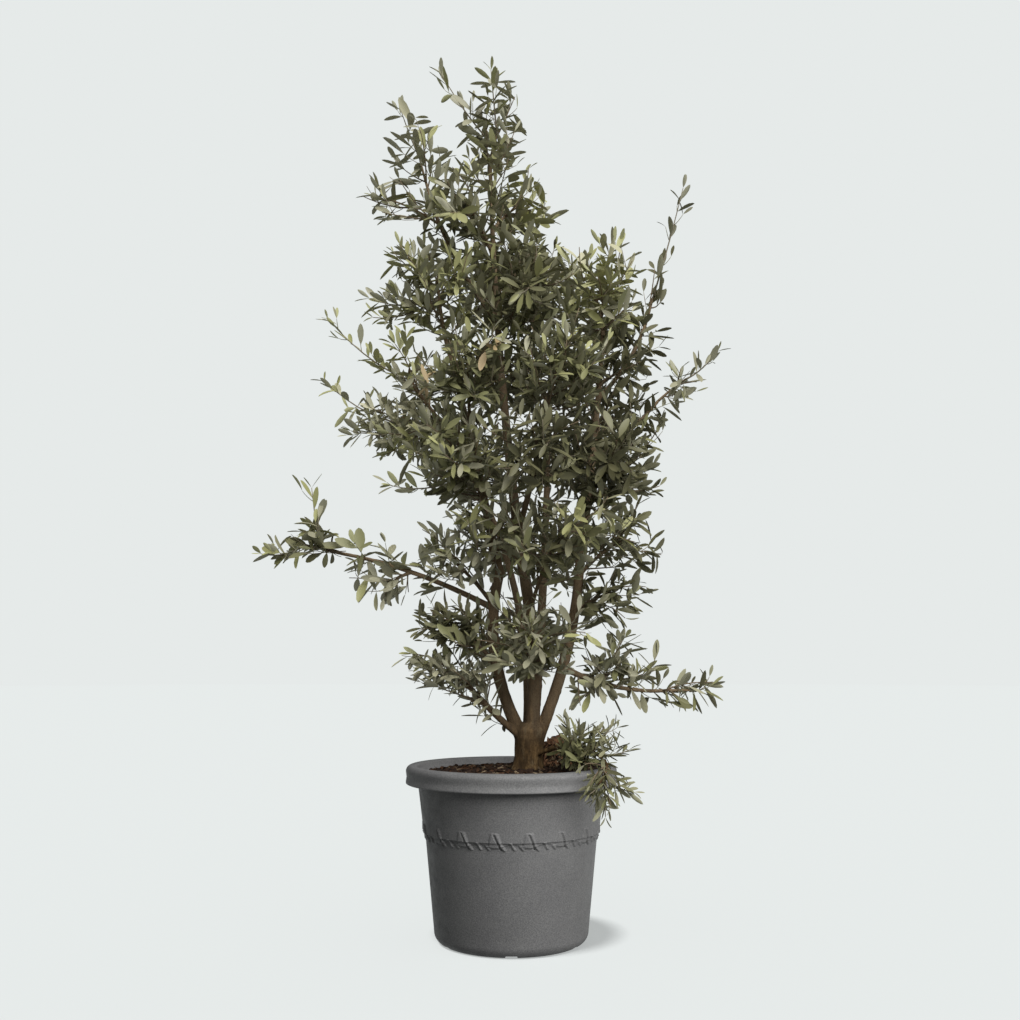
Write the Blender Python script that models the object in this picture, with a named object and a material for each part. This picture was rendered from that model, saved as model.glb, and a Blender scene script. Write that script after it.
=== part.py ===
"""A many-stemmed olive tree, 2.6 m tall, growing in a 0.6 m round plastic pot.

The origin is the centre of the pot's flat underside, +Z is up and -Y is the front.

The tree is built limb by limb. A limb's path starts on the axis of the limb that carries it.
The first piece of that path is a short collar, joined to the carrier. The limb itself begins
a hair's breadth beyond the collar's cut face. Each mass of leaves is one solid in a space of
its own: a stem, twigs that leave the stem by a seeded rule, and leaves along the twigs.
"""
import math

import bmesh
import bpy
import numpy as np

for old in list(bpy.data.objects):
    bpy.data.objects.remove(old, do_unlink=True)

GAP = 0.0003                      # clear gap between two pieces that touch
CLEAR = 0.0025                    # least room between a leaf or twig and a limb
WELD = 0.000004                   # corners nearer to each other than this are one
FLAT_ANGLE = 0.4                  # degrees: faces flatter to each other than this are one
SEED = 1404

# ---------------------------------------------------------------- pot and soil sizes
POT_HEIGHT = 0.481
RIM_RADIUS = 0.300
RIM_FACE = 0.046                  # height of the turned-down rim
RIM_INNER = 0.269
RIM_ROLL = 0.010                  # radius of the rim's rounded top edge
BODY_TOP_RADIUS = 0.266
SKIRT_RADIUS = 0.249              # body radius just above the belt
BELT_RADIUS = 0.243               # body radius just below the belt
BELT_HEIGHT = 0.299
BASE_RADIUS = 0.216
BASE_CORNER = 0.030
WALL = 0.006
FLOOR = 0.010
POT_SIDES = 45
TONGUES = 15
TONGUE_FIRST = 12.8               # degrees from the front towards +X
TONGUE_RISE = 0.026
TONGUE_DROP = 0.019
TONGUE_TOP = 2.6                  # half widths, in degrees around the pot
TONGUE_FOOT = 5.2
TONGUE_PROUD = 0.004
NOTCHES = 6
NOTCH_WIDTH = 0.035
NOTCH_HEIGHT = 0.008
NOTCH_DEPTH = 0.055
SOIL_LEVEL = 0.460
SOIL_SIDES = 24
SOIL_RINGS = (0.13, 0.32, 0.49, 0.64, 0.80, 1.0)    # way in from the wall to the seat
SOIL_RISE = 0.008                 # how much the soil stands higher in the middle
MOUND = (0.132, 0.078)            # a heap of bark mulch beside the trunk
MOUND_RISE = 0.085
MOUND_SPREAD = 0.060
SEAT_RADIUS = 0.060               # flat seat under the foot of the trunk

# ---------------------------------------------------------------- trunk
FOOT = np.array([0.045, 0.0, SOIL_LEVEL + SOIL_RISE])
FORK = np.array([0.056, 0.0, 0.598])
TRUNK_RINGS = (                   # part of the way from foot to fork, radius, root lobes
    (0.00, 0.0470, 0.12),
    (0.10, 0.0425, 0.08),
    (0.28, 0.0390, 0.04),
    (0.60, 0.0415, 0.02),
    (0.85, 0.0470, 0.02),
    (1.00, 0.0360, 0.00),
)
TRUNK_SIDES = 15
ROOT_LOBES = 5

# ---------------------------------------------------------------- limbs
# name: carrier, height or reach along the carrier, end point, bow at mid-length, end radii
LIMBS = {
    "left_stem": ("trunk", (0.040, 0.000, 0.540), (-0.036, -0.020, 1.020),
                  (-0.047, 0.000, 0.000), (0.0185, 0.0150)),
    "centre_stem": ("trunk", (0.055, -0.005, 0.530), (0.029, -0.050, 1.067),
                    (0.020, -0.006, 0.000), (0.0200, 0.0160)),
    "right_stem": ("trunk", (0.065, 0.000, 0.530), (0.201, 0.000, 1.067),
                   (0.027, 0.000, 0.000), (0.0175, 0.0140)),
    "back_stem": ("trunk", (0.060, 0.010, 0.530), (0.120, 0.250, 1.600),
                  (0.045, 0.000, 0.000), (0.0165, 0.0070)),
    "back_left_stem": ("trunk", (0.045, 0.010, 0.530), (-0.110, 0.250, 1.340),
                       (0.055, 0.000, 0.000), (0.0155, 0.0070)),
    "low_left_limb": ("trunk", (0.045, -0.010, 0.545), (-0.100, -0.045, 0.680),
                      (0.000, 0.000, -0.006), (0.0110, 0.0075)),
    "spill_limb": ("trunk", (0.050, -0.005, 0.500), (0.255, -0.215, 0.500),
                   (0.020, 0.000, 0.040), (0.0075, 0.0045)),
    "upper_left_stem": ("left_stem", "tip", (-0.200, -0.050, 1.740),
                        (0.008, 0.000, 0.000), (0.0145, 0.0065)),
    "upper_centre_stem": ("centre_stem", "tip", (-0.065, 0.000, 2.300),
                          (-0.016, -0.010, 0.000), (0.0155, 0.0055)),
    "upper_right_stem": ("right_stem", "tip", (0.276, -0.010, 1.740),
                         (0.006, 0.000, 0.000), (0.0135, 0.0070)),
    "left_arm": ("left_stem", 0.80, (-0.500, -0.020, 1.085),
                 (0.000, 0.000, 0.020), (0.0090, 0.0050)),
    "low_right_arm": ("right_stem", 0.42, (0.450, -0.030, 0.690),
                      (0.000, 0.000, -0.022), (0.0085, 0.0050)),
    "right_arm": ("upper_right_stem", 0.45, (0.440, 0.000, 1.545),
                  (0.000, 0.000, -0.015), (0.0075, 0.0045)),
    "spire_arm": ("upper_right_stem", 0.72, (0.405, 0.000, 1.780),
                  (0.012, 0.000, -0.010), (0.0075, 0.0050)),
    "left_shoulder_arm": ("upper_left_stem", 0.46, (-0.300, -0.030, 1.600),
                          (0.000, 0.000, -0.012), (0.0085, 0.0055)),
    "top_left_arm": ("upper_centre_stem", 0.58, (-0.240, -0.020, 2.150),
                     (-0.015, 0.000, -0.010), (0.0080, 0.0050)),
    "front_arm": ("upper_centre_stem", 0.06, (0.100, -0.250, 1.470),
                  (0.000, -0.040, -0.020), (0.0095, 0.0055)),
}
LIMB_SIDES = 8
ARM_SIDES = 6                     # of limbs thinner than THIN_LIMB
THIN_LIMB = 0.0115
LIMB_STEP = 0.20                  # length of limb between two rings
COLLAR_ROOM = 0.004               # how far a collar's cut face clears its carrier

# ---------------------------------------------------------------- masses of leaves
# name: carrier, "tip" or "side", centre, radii of the space, tips of the long shoots
MASSES = {
    "crown_top": ("upper_centre_stem", "tip", (-0.070, 0.00, 2.445), (0.12, 0.12, 0.18),
                  ((-0.066, 0.0, 2.637), (-0.235, 0.0, 2.616))),
    "upper_left_tuft": ("top_left_arm", "tip", (-0.300, -0.02, 2.355), (0.13, 0.12, 0.14),
                        ((-0.353, -0.02, 2.492),)),
    "left_tuft": ("top_left_arm", "side", (-0.350, -0.05, 2.130), (0.11, 0.12, 0.11), ()),
    "upper_front": ("upper_centre_stem", "side", (-0.135, -0.14, 2.115),
                    (0.14, 0.13, 0.15), ()),
    "upper_right": ("upper_centre_stem", "side", (0.035, 0.10, 2.225),
                    (0.11, 0.14, 0.16), ()),
    "left_shoulder": ("upper_left_stem", "tip", (-0.255, -0.07, 1.900), (0.18, 0.16, 0.13),
                      ((-0.377, -0.07, 2.004),)),
    "mid_upper_front": ("upper_centre_stem", "side", (0.030, -0.18, 1.835),
                        (0.15, 0.14, 0.15), ()),
    "mid_upper_back": ("upper_centre_stem", "side", (0.005, 0.20, 1.975),
                       (0.20, 0.15, 0.16), ()),
    "right_shoulder": ("upper_right_stem", "tip", (0.250, 0.00, 1.910), (0.14, 0.17, 0.15),
                       ((0.314, 0.0, 2.067),)),
    "spire": ("spire_arm", "tip", (0.440, 0.00, 1.975), (0.08, 0.09, 0.23),
              ((0.538, 0.0, 2.247),)),
    "left_mid": ("left_shoulder_arm", "tip", (-0.365, -0.06, 1.675), (0.14, 0.15, 0.12),
                 ((-0.571, -0.06, 1.800),)),
    "left_lower_mid": ("left_shoulder_arm", "side", (-0.350, 0.02, 1.480),
                       (0.15, 0.16, 0.12), ((-0.589, 0.0, 1.621), (-0.510, 0.0, 1.449))),
    "front_left": ("upper_left_stem", "side", (-0.120, -0.25, 1.590),
                   (0.14, 0.14, 0.14), ()),
    "front_right": ("front_arm", "tip", (0.130, -0.25, 1.590), (0.15, 0.14, 0.14), ()),
    "right_mid": ("upper_right_stem", "side", (0.325, -0.02, 1.620), (0.12, 0.18, 0.15), ()),
    "right_arm_tuft": ("right_arm", "tip", (0.520, 0.00, 1.610), (0.11, 0.11, 0.14),
                       ((0.647, 0.0, 1.720),)),
    "back_upper": ("back_stem", "tip", (0.030, 0.30, 1.720), (0.26, 0.13, 0.16), ()),
    "low_front_left": ("upper_left_stem", "side", (-0.150, -0.20, 1.355),
                       (0.14, 0.14, 0.13), ((-0.376, -0.10, 1.267),)),
    "low_front_middle": ("front_arm", "side", (0.060, -0.31, 1.340), (0.14, 0.13, 0.14), ()),
    "low_front_right": ("upper_right_stem", "side", (0.265, -0.20, 1.340),
                        (0.13, 0.14, 0.14), ()),
    "low_right": ("upper_right_stem", "side", (0.425, 0.04, 1.395), (0.09, 0.14, 0.16), ()),
    "back_left": ("back_left_stem", "tip", (-0.140, 0.27, 1.430), (0.19, 0.15, 0.16), ()),
    "back_right": ("back_stem", "side", (0.235, 0.28, 1.450), (0.19, 0.15, 0.17), ()),
    "skirt_left": ("upper_left_stem", "side", (-0.095, -0.11, 1.150),
                   (0.14, 0.14, 0.11), ()),
    "skirt_front": ("centre_stem", "side", (0.135, -0.27, 1.115), (0.15, 0.14, 0.12), ()),
    "skirt_right": ("right_stem", "side", (0.345, -0.02, 1.140), (0.11, 0.16, 0.15), ()),
    "skirt_back": ("back_stem", "side", (0.060, 0.28, 1.140), (0.25, 0.14, 0.14), ()),
    "left_heart": ("left_stem", "side", (-0.195, -0.05, 1.045), (0.12, 0.12, 0.10), ()),
    "left_arm_tip": ("left_arm", "tip", (-0.610, -0.02, 1.105), (0.13, 0.08, 0.07),
                     ((-0.761, -0.02, 1.077), (-0.592, -0.02, 1.310))),
    "left_arm_mid": ("left_arm", "side", (-0.370, -0.02, 1.010), (0.11, 0.09, 0.09), ()),
    "low_left": ("left_stem", "side", (-0.170, -0.12, 0.880), (0.12, 0.12, 0.09), ()),
    "base_left": ("low_left_limb", "tip", (-0.200, -0.06, 0.735), (0.13, 0.12, 0.10),
                  ((-0.302, -0.06, 0.771),)),
    "low_front": ("centre_stem", "side", (0.080, -0.18, 0.865), (0.12, 0.12, 0.10), ()),
    "low_right_heart": ("right_stem", "side", (0.275, -0.02, 0.945),
                        (0.12, 0.13, 0.12), ()),
    "right_arm_mid": ("low_right_arm", "side", (0.350, -0.03, 0.765), (0.12, 0.09, 0.09),
                      ((0.318, -0.03, 0.856),)),
    "right_arm_tip": ("low_right_arm", "tip", (0.510, -0.03, 0.690), (0.08, 0.07, 0.07),
                      ((0.585, -0.03, 0.709),)),
    "low_back": ("back_left_stem", "side", (0.025, 0.22, 0.840), (0.19, 0.13, 0.14), ()),
    "spill_foot": ("spill_limb", "side", (0.215, -0.06, 0.550), (0.09, 0.10, 0.08),
                   ((0.357, -0.10, 0.529),)),
    "spill_tip": ("spill_limb", "tip", (0.265, -0.265, 0.435), (0.07, 0.06, 0.08),
                  ((0.350, -0.25, 0.417),)),
}
STEM_SIDES = 4
STEM_RADIUS = 0.0065              # of a mass's stem where it leaves a limb's side
STEM_TIP = 0.0045
TWIG_RADIUS = 0.0042
TWIG_TIP = 0.0026
TWIGS = 5                         # tried in each mass, before the shoots
REACHES = (0.46, 0.34, 0.24)      # of the space's radius, tried in turn for a twig's end
LEAF_LENGTH = 0.170
LEAF_SHARE = 1.25                 # leaf length as a part of the space's mean radius
LEAF_SIZES = (1.0, 0.85, 0.7, 0.5)    # tried in turn
LEAF_PLACE = 0.6                  # part of a twig's way at which its side leaves sit
SHOOT_LEAF = 0.75                 # length of a shoot's leaves, of the mass's leaf length
SHOOT_STEP = 0.11                 # length of shoot for each pair of leaves
LEAF_WIDTH = 0.33                 # of the leaf's length
LEAF_THICKNESS = 0.026
LEAF_ROOM = 0.006                 # kept between the leaves and twigs of one mass
LEAF_WIDEST = 0.42                # part of the length from root to widest place
LEAF_ANGLE = 48.0                 # degrees between a paired leaf and its twig
FORK_ANGLE = 48.0                 # degrees at which a side piece likes to leave its carrier
SHOOT_ROOM = 0.050                # radius of the room kept for a long shoot
OVERREACH = 1.06                  # how far past its space's radius a leaf may reach
CELL_MARGIN = 0.03                # as a part of a space's radius
STEM_ROOM = 0.004                 # kept by other masses around a mass's stem


# ================================================================ materials
def plain_material(name, colour, roughness):
    """A Principled material with one colour and one roughness."""
    material = bpy.data.materials.new(name)
    material.use_nodes = True
    shader = material.node_tree.nodes["Principled BSDF"]
    shader.inputs["Base Color"].default_value = (*colour, 1.0)
    shader.inputs["Roughness"].default_value = roughness
    shader.inputs["Metallic"].default_value = 0.0
    material.diffuse_color = (*colour, 1.0)
    return material


POT_GREY = plain_material("grey_plastic", (0.105, 0.105, 0.108), 0.62)
SOIL_BROWN = plain_material("bark_mulch", (0.045, 0.022, 0.014), 0.95)
BARK = plain_material("olive_bark", (0.165, 0.105, 0.060), 0.85)
LEAF_GREEN = plain_material("olive_leaf", (0.110, 0.125, 0.075), 0.55)


# ================================================================ mesh helpers
def new_object(name, verts, faces, material):
    """One named object from vertices and faces, with all faces turned outward."""
    mesh = bpy.data.meshes.new(name)
    mesh.from_pydata([tuple(v) for v in verts], [], faces)
    body = bmesh.new()
    body.from_mesh(mesh)
    bmesh.ops.recalc_face_normals(body, faces=body.faces)
    body.to_mesh(mesh)
    body.free()
    mesh.materials.append(material)
    obj = bpy.data.objects.new(name, mesh)
    bpy.context.scene.collection.objects.link(obj)
    return obj


def apply_boolean(obj, operation, group, solver):
    """Join or cut obj with all the objects of a collection at once."""
    boolean = obj.modifiers.new("join", "BOOLEAN")
    boolean.operation = operation
    boolean.solver = solver
    boolean.operand_type = "COLLECTION"
    boolean.collection = group
    bpy.context.view_layer.objects.active = obj
    bpy.ops.object.modifier_apply(modifier="join")


def combine(obj, operation, helpers):
    """Join or cut obj with helper objects, keep one closed body and remove the helpers."""
    group = bpy.data.collections.new("helpers")
    bpy.context.scene.collection.children.link(group)
    for helper in helpers:
        group.objects.link(helper)
        helper.hide_render = True
        helper.display_type = "WIRE"
    plain = obj.data.copy()
    for solver in ("EXACT", "MANIFOLD"):
        apply_boolean(obj, operation, group, solver)
        if keep_main_shell(obj):
            break
        obj.data = plain.copy()
    else:
        raise ValueError("no closed result for " + obj.name)
    for helper in helpers:
        shape = helper.data
        bpy.data.objects.remove(helper, do_unlink=True)
        bpy.data.meshes.remove(shape)
    bpy.data.collections.remove(group)


def islands(body):
    """The separate closed shells of a bmesh, each as a list of faces."""
    left = set(body.faces)
    shells = []
    while left:
        stack = [left.pop()]
        shell = list(stack)
        while stack:
            face = stack.pop()
            for edge in face.edges:
                for other in edge.link_faces:
                    if other in left:
                        left.remove(other)
                        stack.append(other)
                        shell.append(other)
        shells.append(shell)
    return shells


def shell_volume(shell):
    """Signed volume of one closed shell of faces."""
    total = 0.0
    for face in shell:
        first = face.verts[0].co
        for a, b in zip(face.verts[1:-1], face.verts[2:]):
            total += first.dot(a.co.cross(b.co)) / 6.0
    return total


def is_closed(body):
    """True if every edge joins two faces and no face is a sliver of no area."""
    return (all(len(edge.link_faces) == 2 for edge in body.edges)
            and all(face.calc_area() > 1e-12 for face in body.faces))


def tidy_mesh(mesh, weld, flat_angle):
    """A triangulated bmesh, welded, its flat runs of faces first made single faces."""
    body = bmesh.new()
    body.from_mesh(mesh)
    if weld:
        bmesh.ops.remove_doubles(body, verts=body.verts, dist=weld)
    if flat_angle:
        bmesh.ops.dissolve_limit(body, angle_limit=math.radians(flat_angle),
                                 verts=body.verts, edges=body.edges)
    bmesh.ops.triangulate(body, faces=body.faces)
    return body


def keep_main_shell(obj):
    """Fill sealed hollows and drop loose scrap; False if the mesh isn't closed."""
    for weld, flat_angle in ((WELD, FLAT_ANGLE), (0.0, FLAT_ANGLE), (WELD, 0.0), (0.0, 0.0)):
        body = tidy_mesh(obj.data, weld, flat_angle)
        if is_closed(body):
            break
        body.free()
    else:
        return False
    shells = sorted(islands(body), key=shell_volume)
    spare = [face for shell in shells[:-1] for face in shell]
    bmesh.ops.delete(body, geom=spare, context="FACES")
    loose = [vert for vert in body.verts if not vert.link_faces]
    bmesh.ops.delete(body, geom=loose, context="VERTS")
    body.to_mesh(obj.data)
    body.free()
    return True


def unit(v):
    """The vector scaled to length 1."""
    v = np.asarray(v, float)
    return v / max(1e-9, np.linalg.norm(v))


def tube(points, axes, radii, sides):
    """Vertices and faces of a closed tube of rings, each square to its own axis."""
    points = np.asarray(points, float)
    turn = np.arange(sides) * 2.0 * math.pi / sides
    overall = unit(points[-1] - points[0])
    aside = np.eye(3)[int(np.argmin(np.abs(overall)))]
    verts = []
    for point, axis, radius in zip(points, axes, radii):
        across = unit(np.cross(axis, aside))
        other = unit(np.cross(axis, across))
        ring = np.outer(np.cos(turn), across) + np.outer(np.sin(turn), other)
        verts.extend(point + radius * ring)
    faces = [list(range(sides))]
    for k in range(len(points) - 1):
        for i in range(sides):
            j = (i + 1) % sides
            a, b = k * sides + i, k * sides + j
            faces.append([a, b, b + sides])
            faces.append([a, b + sides, a + sides])
    last = (len(points) - 1) * sides
    faces.append(list(range(last, last + sides)))
    return verts, faces


# ================================================================ paths
def path(start, end, bow):
    """A bowed line: straight from start to end, pushed aside by bow at mid-length."""
    return np.asarray(start, float), np.asarray(end, float), np.asarray(bow, float)


def point_on(line, t):
    """Points at parts t (0 to 1) of the way along a bowed line."""
    start, end, bow = line
    t = np.atleast_1d(t)[:, None]
    return start + t * (end - start) + 4.0 * t * (1.0 - t) * bow


def heading(line, t):
    """Unit direction of a bowed line at the part t of its way."""
    start, end, bow = line
    return unit((end - start) + 4.0 * (1.0 - 2.0 * t) * bow)


def line_length(line):
    """Length of a bowed line."""
    return float(np.linalg.norm(np.diff(point_on(line, np.linspace(0, 1, 21)), axis=0),
                                axis=1).sum())


def knots(line):
    """Parts of the way along a line at which a limb's rings lie."""
    return np.linspace(0.0, 1.0, max(3, 1 + round(line_length(line) / LIMB_STEP)))


def beads(line, radii):
    """Points and radii about 10 mm apart along a limb, to measure room with."""
    rings = knots(line)
    corners = point_on(line, rings)
    t = np.linspace(0.0, 1.0, max(4, int(line_length(line) / 0.01)))
    places = np.stack([np.interp(t, rings, corners[:, k]) for k in range(3)], axis=1)
    return places, radii[0] + (radii[1] - radii[0]) * t


def best_fork(line, target, low, high):
    """Places along a line from which the way to target leaves it at the fork angle."""
    t = np.linspace(low, high, 25)
    places = point_on(line, t)
    gaps = []
    for s, place in zip(t, places):
        turn = np.dot(heading(line, s), unit(np.asarray(target) - place))
        angle = math.degrees(math.acos(max(-1.0, min(1.0, turn))))
        gaps.append(abs(angle - FORK_ANGLE))
    return t[np.argsort(gaps, kind="stable")]


# ================================================================ pot
def turned(profile, sides, name, material):
    """A solid turned about the Z axis from a closed outline of (radius, height)."""
    turn = np.arange(sides) * 2.0 * math.pi / sides
    rings = []
    verts = []
    for radius, height in profile:
        if radius < 1e-9:
            rings.append([len(verts)] * sides)
            verts.append((0.0, 0.0, height))
            continue
        rings.append(list(range(len(verts), len(verts) + sides)))
        verts.extend((radius * math.sin(a), -radius * math.cos(a), height) for a in turn)
    faces = []
    for low, high in zip(rings[:-1], rings[1:]):
        for i in range(sides):
            j = (i + 1) % sides
            loop = [low[i], low[j], high[j], high[i]]
            corners = [v for k, v in enumerate(loop) if v != loop[k - 1]]
            faces.append(corners)
    return new_object(name, verts, faces, material)


def arc(centre, radius, begin, end, count):
    """Points of an arc in the (radius, height) plane, angles in degrees."""
    angles = np.radians(np.linspace(begin, end, count))
    return [(centre[0] + radius * math.cos(a), centre[1] + radius * math.sin(a))
            for a in angles]


def body_radius(height):
    """Outer radius of the pot's wall at a height."""
    if height > BELT_HEIGHT:
        part = (height - BELT_HEIGHT) / (POT_HEIGHT - RIM_FACE - BELT_HEIGHT)
        return SKIRT_RADIUS + part * (BODY_TOP_RADIUS - SKIRT_RADIUS)
    part = (height - BASE_CORNER) / (BELT_HEIGHT - BASE_CORNER)
    return BASE_RADIUS + part * (BELT_RADIUS - BASE_RADIUS)


def pot_profile():
    """The pot's section: floor, tapering wall, belt step and turned-down rim."""
    lip_low = POT_HEIGHT - RIM_FACE
    inner_top = RIM_INNER - 0.004
    outline = [(0.0, 0.0), (BASE_RADIUS - BASE_CORNER, 0.0)]
    outline += arc((BASE_RADIUS - BASE_CORNER, BASE_CORNER), BASE_CORNER, -60, 0, 3)
    outline += [(BELT_RADIUS, BELT_HEIGHT - 0.002), (SKIRT_RADIUS, BELT_HEIGHT + 0.002)]
    outline += [(body_radius(lip_low), lip_low + 0.006)]
    outline += [(BODY_TOP_RADIUS + 0.002, POT_HEIGHT - 0.012)]
    outline += [(RIM_RADIUS - WALL, POT_HEIGHT - 0.014)]
    outline += [(RIM_RADIUS - WALL, lip_low), (RIM_RADIUS, lip_low + 0.004)]
    outline += arc((RIM_RADIUS - RIM_ROLL, POT_HEIGHT - RIM_ROLL), RIM_ROLL, 0, 90, 3)
    outline += [(RIM_INNER, POT_HEIGHT - 0.006), (inner_top - WALL, lip_low)]
    outline += [(BELT_RADIUS - WALL, BELT_HEIGHT - 0.004)]
    outline += [(BASE_RADIUS - WALL, BASE_CORNER), (BASE_RADIUS - BASE_CORNER, FLOOR)]
    outline += [(0.0, FLOOR)]
    return outline


def wall_block(corners, proud):
    """A block on the pot's wall from (angle in degrees, height) corners.

    Its inner face lies inside the wall, its outer face stands proud of the wall.
    """
    verts = []
    for depth in (-0.5 * WALL, proud):
        for angle, height in corners:
            radius = body_radius(height) + depth
            a = math.radians(angle)
            verts.append((radius * math.sin(a), -radius * math.cos(a), height))
    n = len(corners)
    faces = [list(range(n)), list(range(n, 2 * n))]
    for i in range(n):
        j = (i + 1) % n
        faces.append([i, j, n + j, n + i])
    return new_object("block", verts, faces, POT_GREY)


def belt_tongue(angle):
    """One tongue of the belt: a trapezoid that hangs over the lower wall."""
    top = BELT_HEIGHT + TONGUE_RISE
    foot = BELT_HEIGHT - TONGUE_DROP
    corners = [(angle - TONGUE_TOP, top), (angle + TONGUE_TOP, top),
               (angle + TONGUE_FOOT, foot), (angle - TONGUE_FOOT, foot)]
    proud = TONGUE_PROUD + SKIRT_RADIUS - BELT_RADIUS
    block = wall_block(corners, TONGUE_PROUD)
    for k in (6, 7):
        x, y, z = block.data.vertices[k].co
        stretch = (body_radius(foot) + proud) / math.hypot(x, y)
        block.data.vertices[k].co = (x * stretch, y * stretch, z)
    return block


def edge_notch(angle):
    """A cutter for one drain notch in the pot's bottom edge."""
    a = math.radians(angle)
    out = np.array([math.sin(a), -math.cos(a), 0.0])
    side = np.array([math.cos(a), math.sin(a), 0.0])
    verts = []
    for reach in (BASE_RADIUS - NOTCH_DEPTH, BASE_RADIUS + 0.02):
        for across, height in ((-0.5, -0.01), (0.5, -0.01), (0.38, NOTCH_HEIGHT),
                               (-0.38, NOTCH_HEIGHT)):
            verts.append(reach * out + across * NOTCH_WIDTH * side + (0, 0, height))
    faces = [[0, 1, 2, 3], [4, 5, 6, 7], [0, 1, 5, 4], [1, 2, 6, 5], [2, 3, 7, 6],
             [3, 0, 4, 7]]
    return new_object("notch", verts, faces, POT_GREY)


def build_pot():
    """The pot with its rim, its belt of tongues and its drain notches."""
    pot = turned(pot_profile(), POT_SIDES, "pot", POT_GREY)
    step = 360.0 / TONGUES
    reliefs = [belt_tongue(TONGUE_FIRST + k * step) for k in range(TONGUES)]
    combine(pot, "UNION", reliefs)
    notches = [edge_notch(k * 360.0 / NOTCHES) for k in range(NOTCHES)]
    combine(pot, "DIFFERENCE", notches)
    return pot


# ================================================================ soil
def soil_height(x, y):
    """Height of the soil at a place: a low dome, a mulch heap and the trunk's flat seat."""
    reach = np.hypot(x, y) / RIM_INNER
    dome = SOIL_LEVEL + SOIL_RISE * (1.0 - reach ** 2)
    away = np.hypot(x - MOUND[0], y - MOUND[1]) / MOUND_SPREAD
    heap = dome + MOUND_RISE * np.exp(-away ** 2)
    seat = np.hypot(x - FOOT[0], y - FOOT[1]) / SEAT_RADIUS
    blend = np.clip((seat - 1.01) / 0.35, 0.0, 1.0)
    return (1.0 - blend) * (FOOT[2] - GAP) + blend * heap


def build_soil():
    """The growing medium: it fills the pot to just under the rim."""
    inner_level = RIM_INNER - 0.004 - WALL
    profile = [(0.0, FLOOR + GAP), (BASE_RADIUS - BASE_CORNER - 0.001, FLOOR + GAP),
               (BASE_RADIUS - WALL - 0.001, BASE_CORNER + 0.001),
               (BELT_RADIUS - WALL - 0.001, BELT_HEIGHT - 0.004),
               (inner_level - 0.0012, POT_HEIGHT - RIM_FACE),
               (inner_level - 0.0010, SOIL_LEVEL - 0.004)]
    sides = SOIL_SIDES
    turn = np.arange(sides) * 2.0 * math.pi / sides
    verts = [(0.0, 0.0, profile[0][1])]
    for radius, height in profile[1:]:
        verts.extend((radius * math.sin(a), -radius * math.cos(a), height) for a in turn)
    for part in SOIL_RINGS:
        reach = inner_level + part * (SEAT_RADIUS - inner_level)
        for a in turn:
            x = reach * math.sin(a) + part * FOOT[0]
            y = -reach * math.cos(a) + part * FOOT[1]
            verts.append((x, y, float(soil_height(x, y))))
    verts.append((FOOT[0], FOOT[1], FOOT[2] - GAP))
    faces = []
    rings = (len(verts) - 2) // sides
    for i in range(sides):
        j = (i + 1) % sides
        faces.append([0, 1 + j, 1 + i])
        for k in range(rings - 1):
            a, b = 1 + k * sides + i, 1 + k * sides + j
            faces.append([a, b, b + sides])
            faces.append([a, b + sides, a + sides])
        last = 1 + (rings - 1) * sides
        faces.append([last + i, last + j, len(verts) - 1])
    return new_object("growing_medium", verts, faces, SOIL_BROWN)


# ================================================================ trunk and limbs
def trunk_body():
    """The trunk: flared and lobed at its foot, leaning a little, closing in at the fork."""
    turn = np.arange(TRUNK_SIDES) * 2.0 * math.pi / TRUNK_SIDES
    verts = []
    for part, radius, lobes in TRUNK_RINGS:
        centre = FOOT + part * (FORK - FOOT)
        for a in turn:
            reach = radius * (1.0 + lobes * math.cos(ROOT_LOBES * a))
            verts.append(centre + (reach * math.cos(a), reach * math.sin(a), 0.0))
    faces = [list(range(TRUNK_SIDES))]
    for k in range(len(TRUNK_RINGS) - 1):
        for i in range(TRUNK_SIDES):
            j = (i + 1) % TRUNK_SIDES
            a, b = k * TRUNK_SIDES + i, k * TRUNK_SIDES + j
            faces.append([a, b, b + TRUNK_SIDES])
            faces.append([a, b + TRUNK_SIDES, a + TRUNK_SIDES])
    last = (len(TRUNK_RINGS) - 1) * TRUNK_SIDES
    faces.append(list(range(last, last + TRUNK_SIDES)))
    return new_object("trunk", verts, faces, BARK)


def trunk_beads():
    """Points and radii that fill the trunk, to measure room with."""
    parts = np.linspace(0.0, 1.0, 14)[:, None]
    return FOOT + parts * (FORK - FOOT), np.full(14, 0.046)


def tip_start(line):
    """A point just beyond a limb's cut end, and the way the limb heads there."""
    way = heading(line, 1.0)
    return line[1] + GAP * way, way


def limb_lines():
    """The path and the end radii of every limb, carriers first."""
    lines = {}
    for name, (carrier, where, end, bow, radii) in LIMBS.items():
        if carrier == "trunk":
            start = where
        elif where == "tip":
            start = tip_start(lines[carrier][0])[0]
        else:
            start = point_on(lines[carrier][0], where)[0]
        lines[name] = (path(start, end, bow), radii)
    return lines


def collar_end(line, radius, carrier_points, carrier_radii):
    """How far along a side piece its collar reaches: until it is clear of the carrier."""
    for t in np.linspace(0.0, 0.9, 361):
        place = point_on(line, t)[0]
        room = (np.linalg.norm(carrier_points - place, axis=1) - carrier_radii).min()
        if room > 1.15 * radius + COLLAR_ROOM:
            return float(t)
    raise ValueError("a collar never clears its carrier")


def limb_tube(line, radii, begin, sides, first=None):
    """Mesh data of the piece of a tapering limb from the part "begin" to its end.

    "first" is the axis of its first ring, where that isn't the limb's own heading.
    """
    rings = knots(line)
    t = np.array([begin, *rings[rings > begin + 0.3 * rings[1]]])
    axes = [heading(line, part) for part in t]
    if first is not None:
        axes[0] = first
    return tube(point_on(line, t), axes, radii[0] + (radii[1] - radii[0]) * t, sides)


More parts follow.
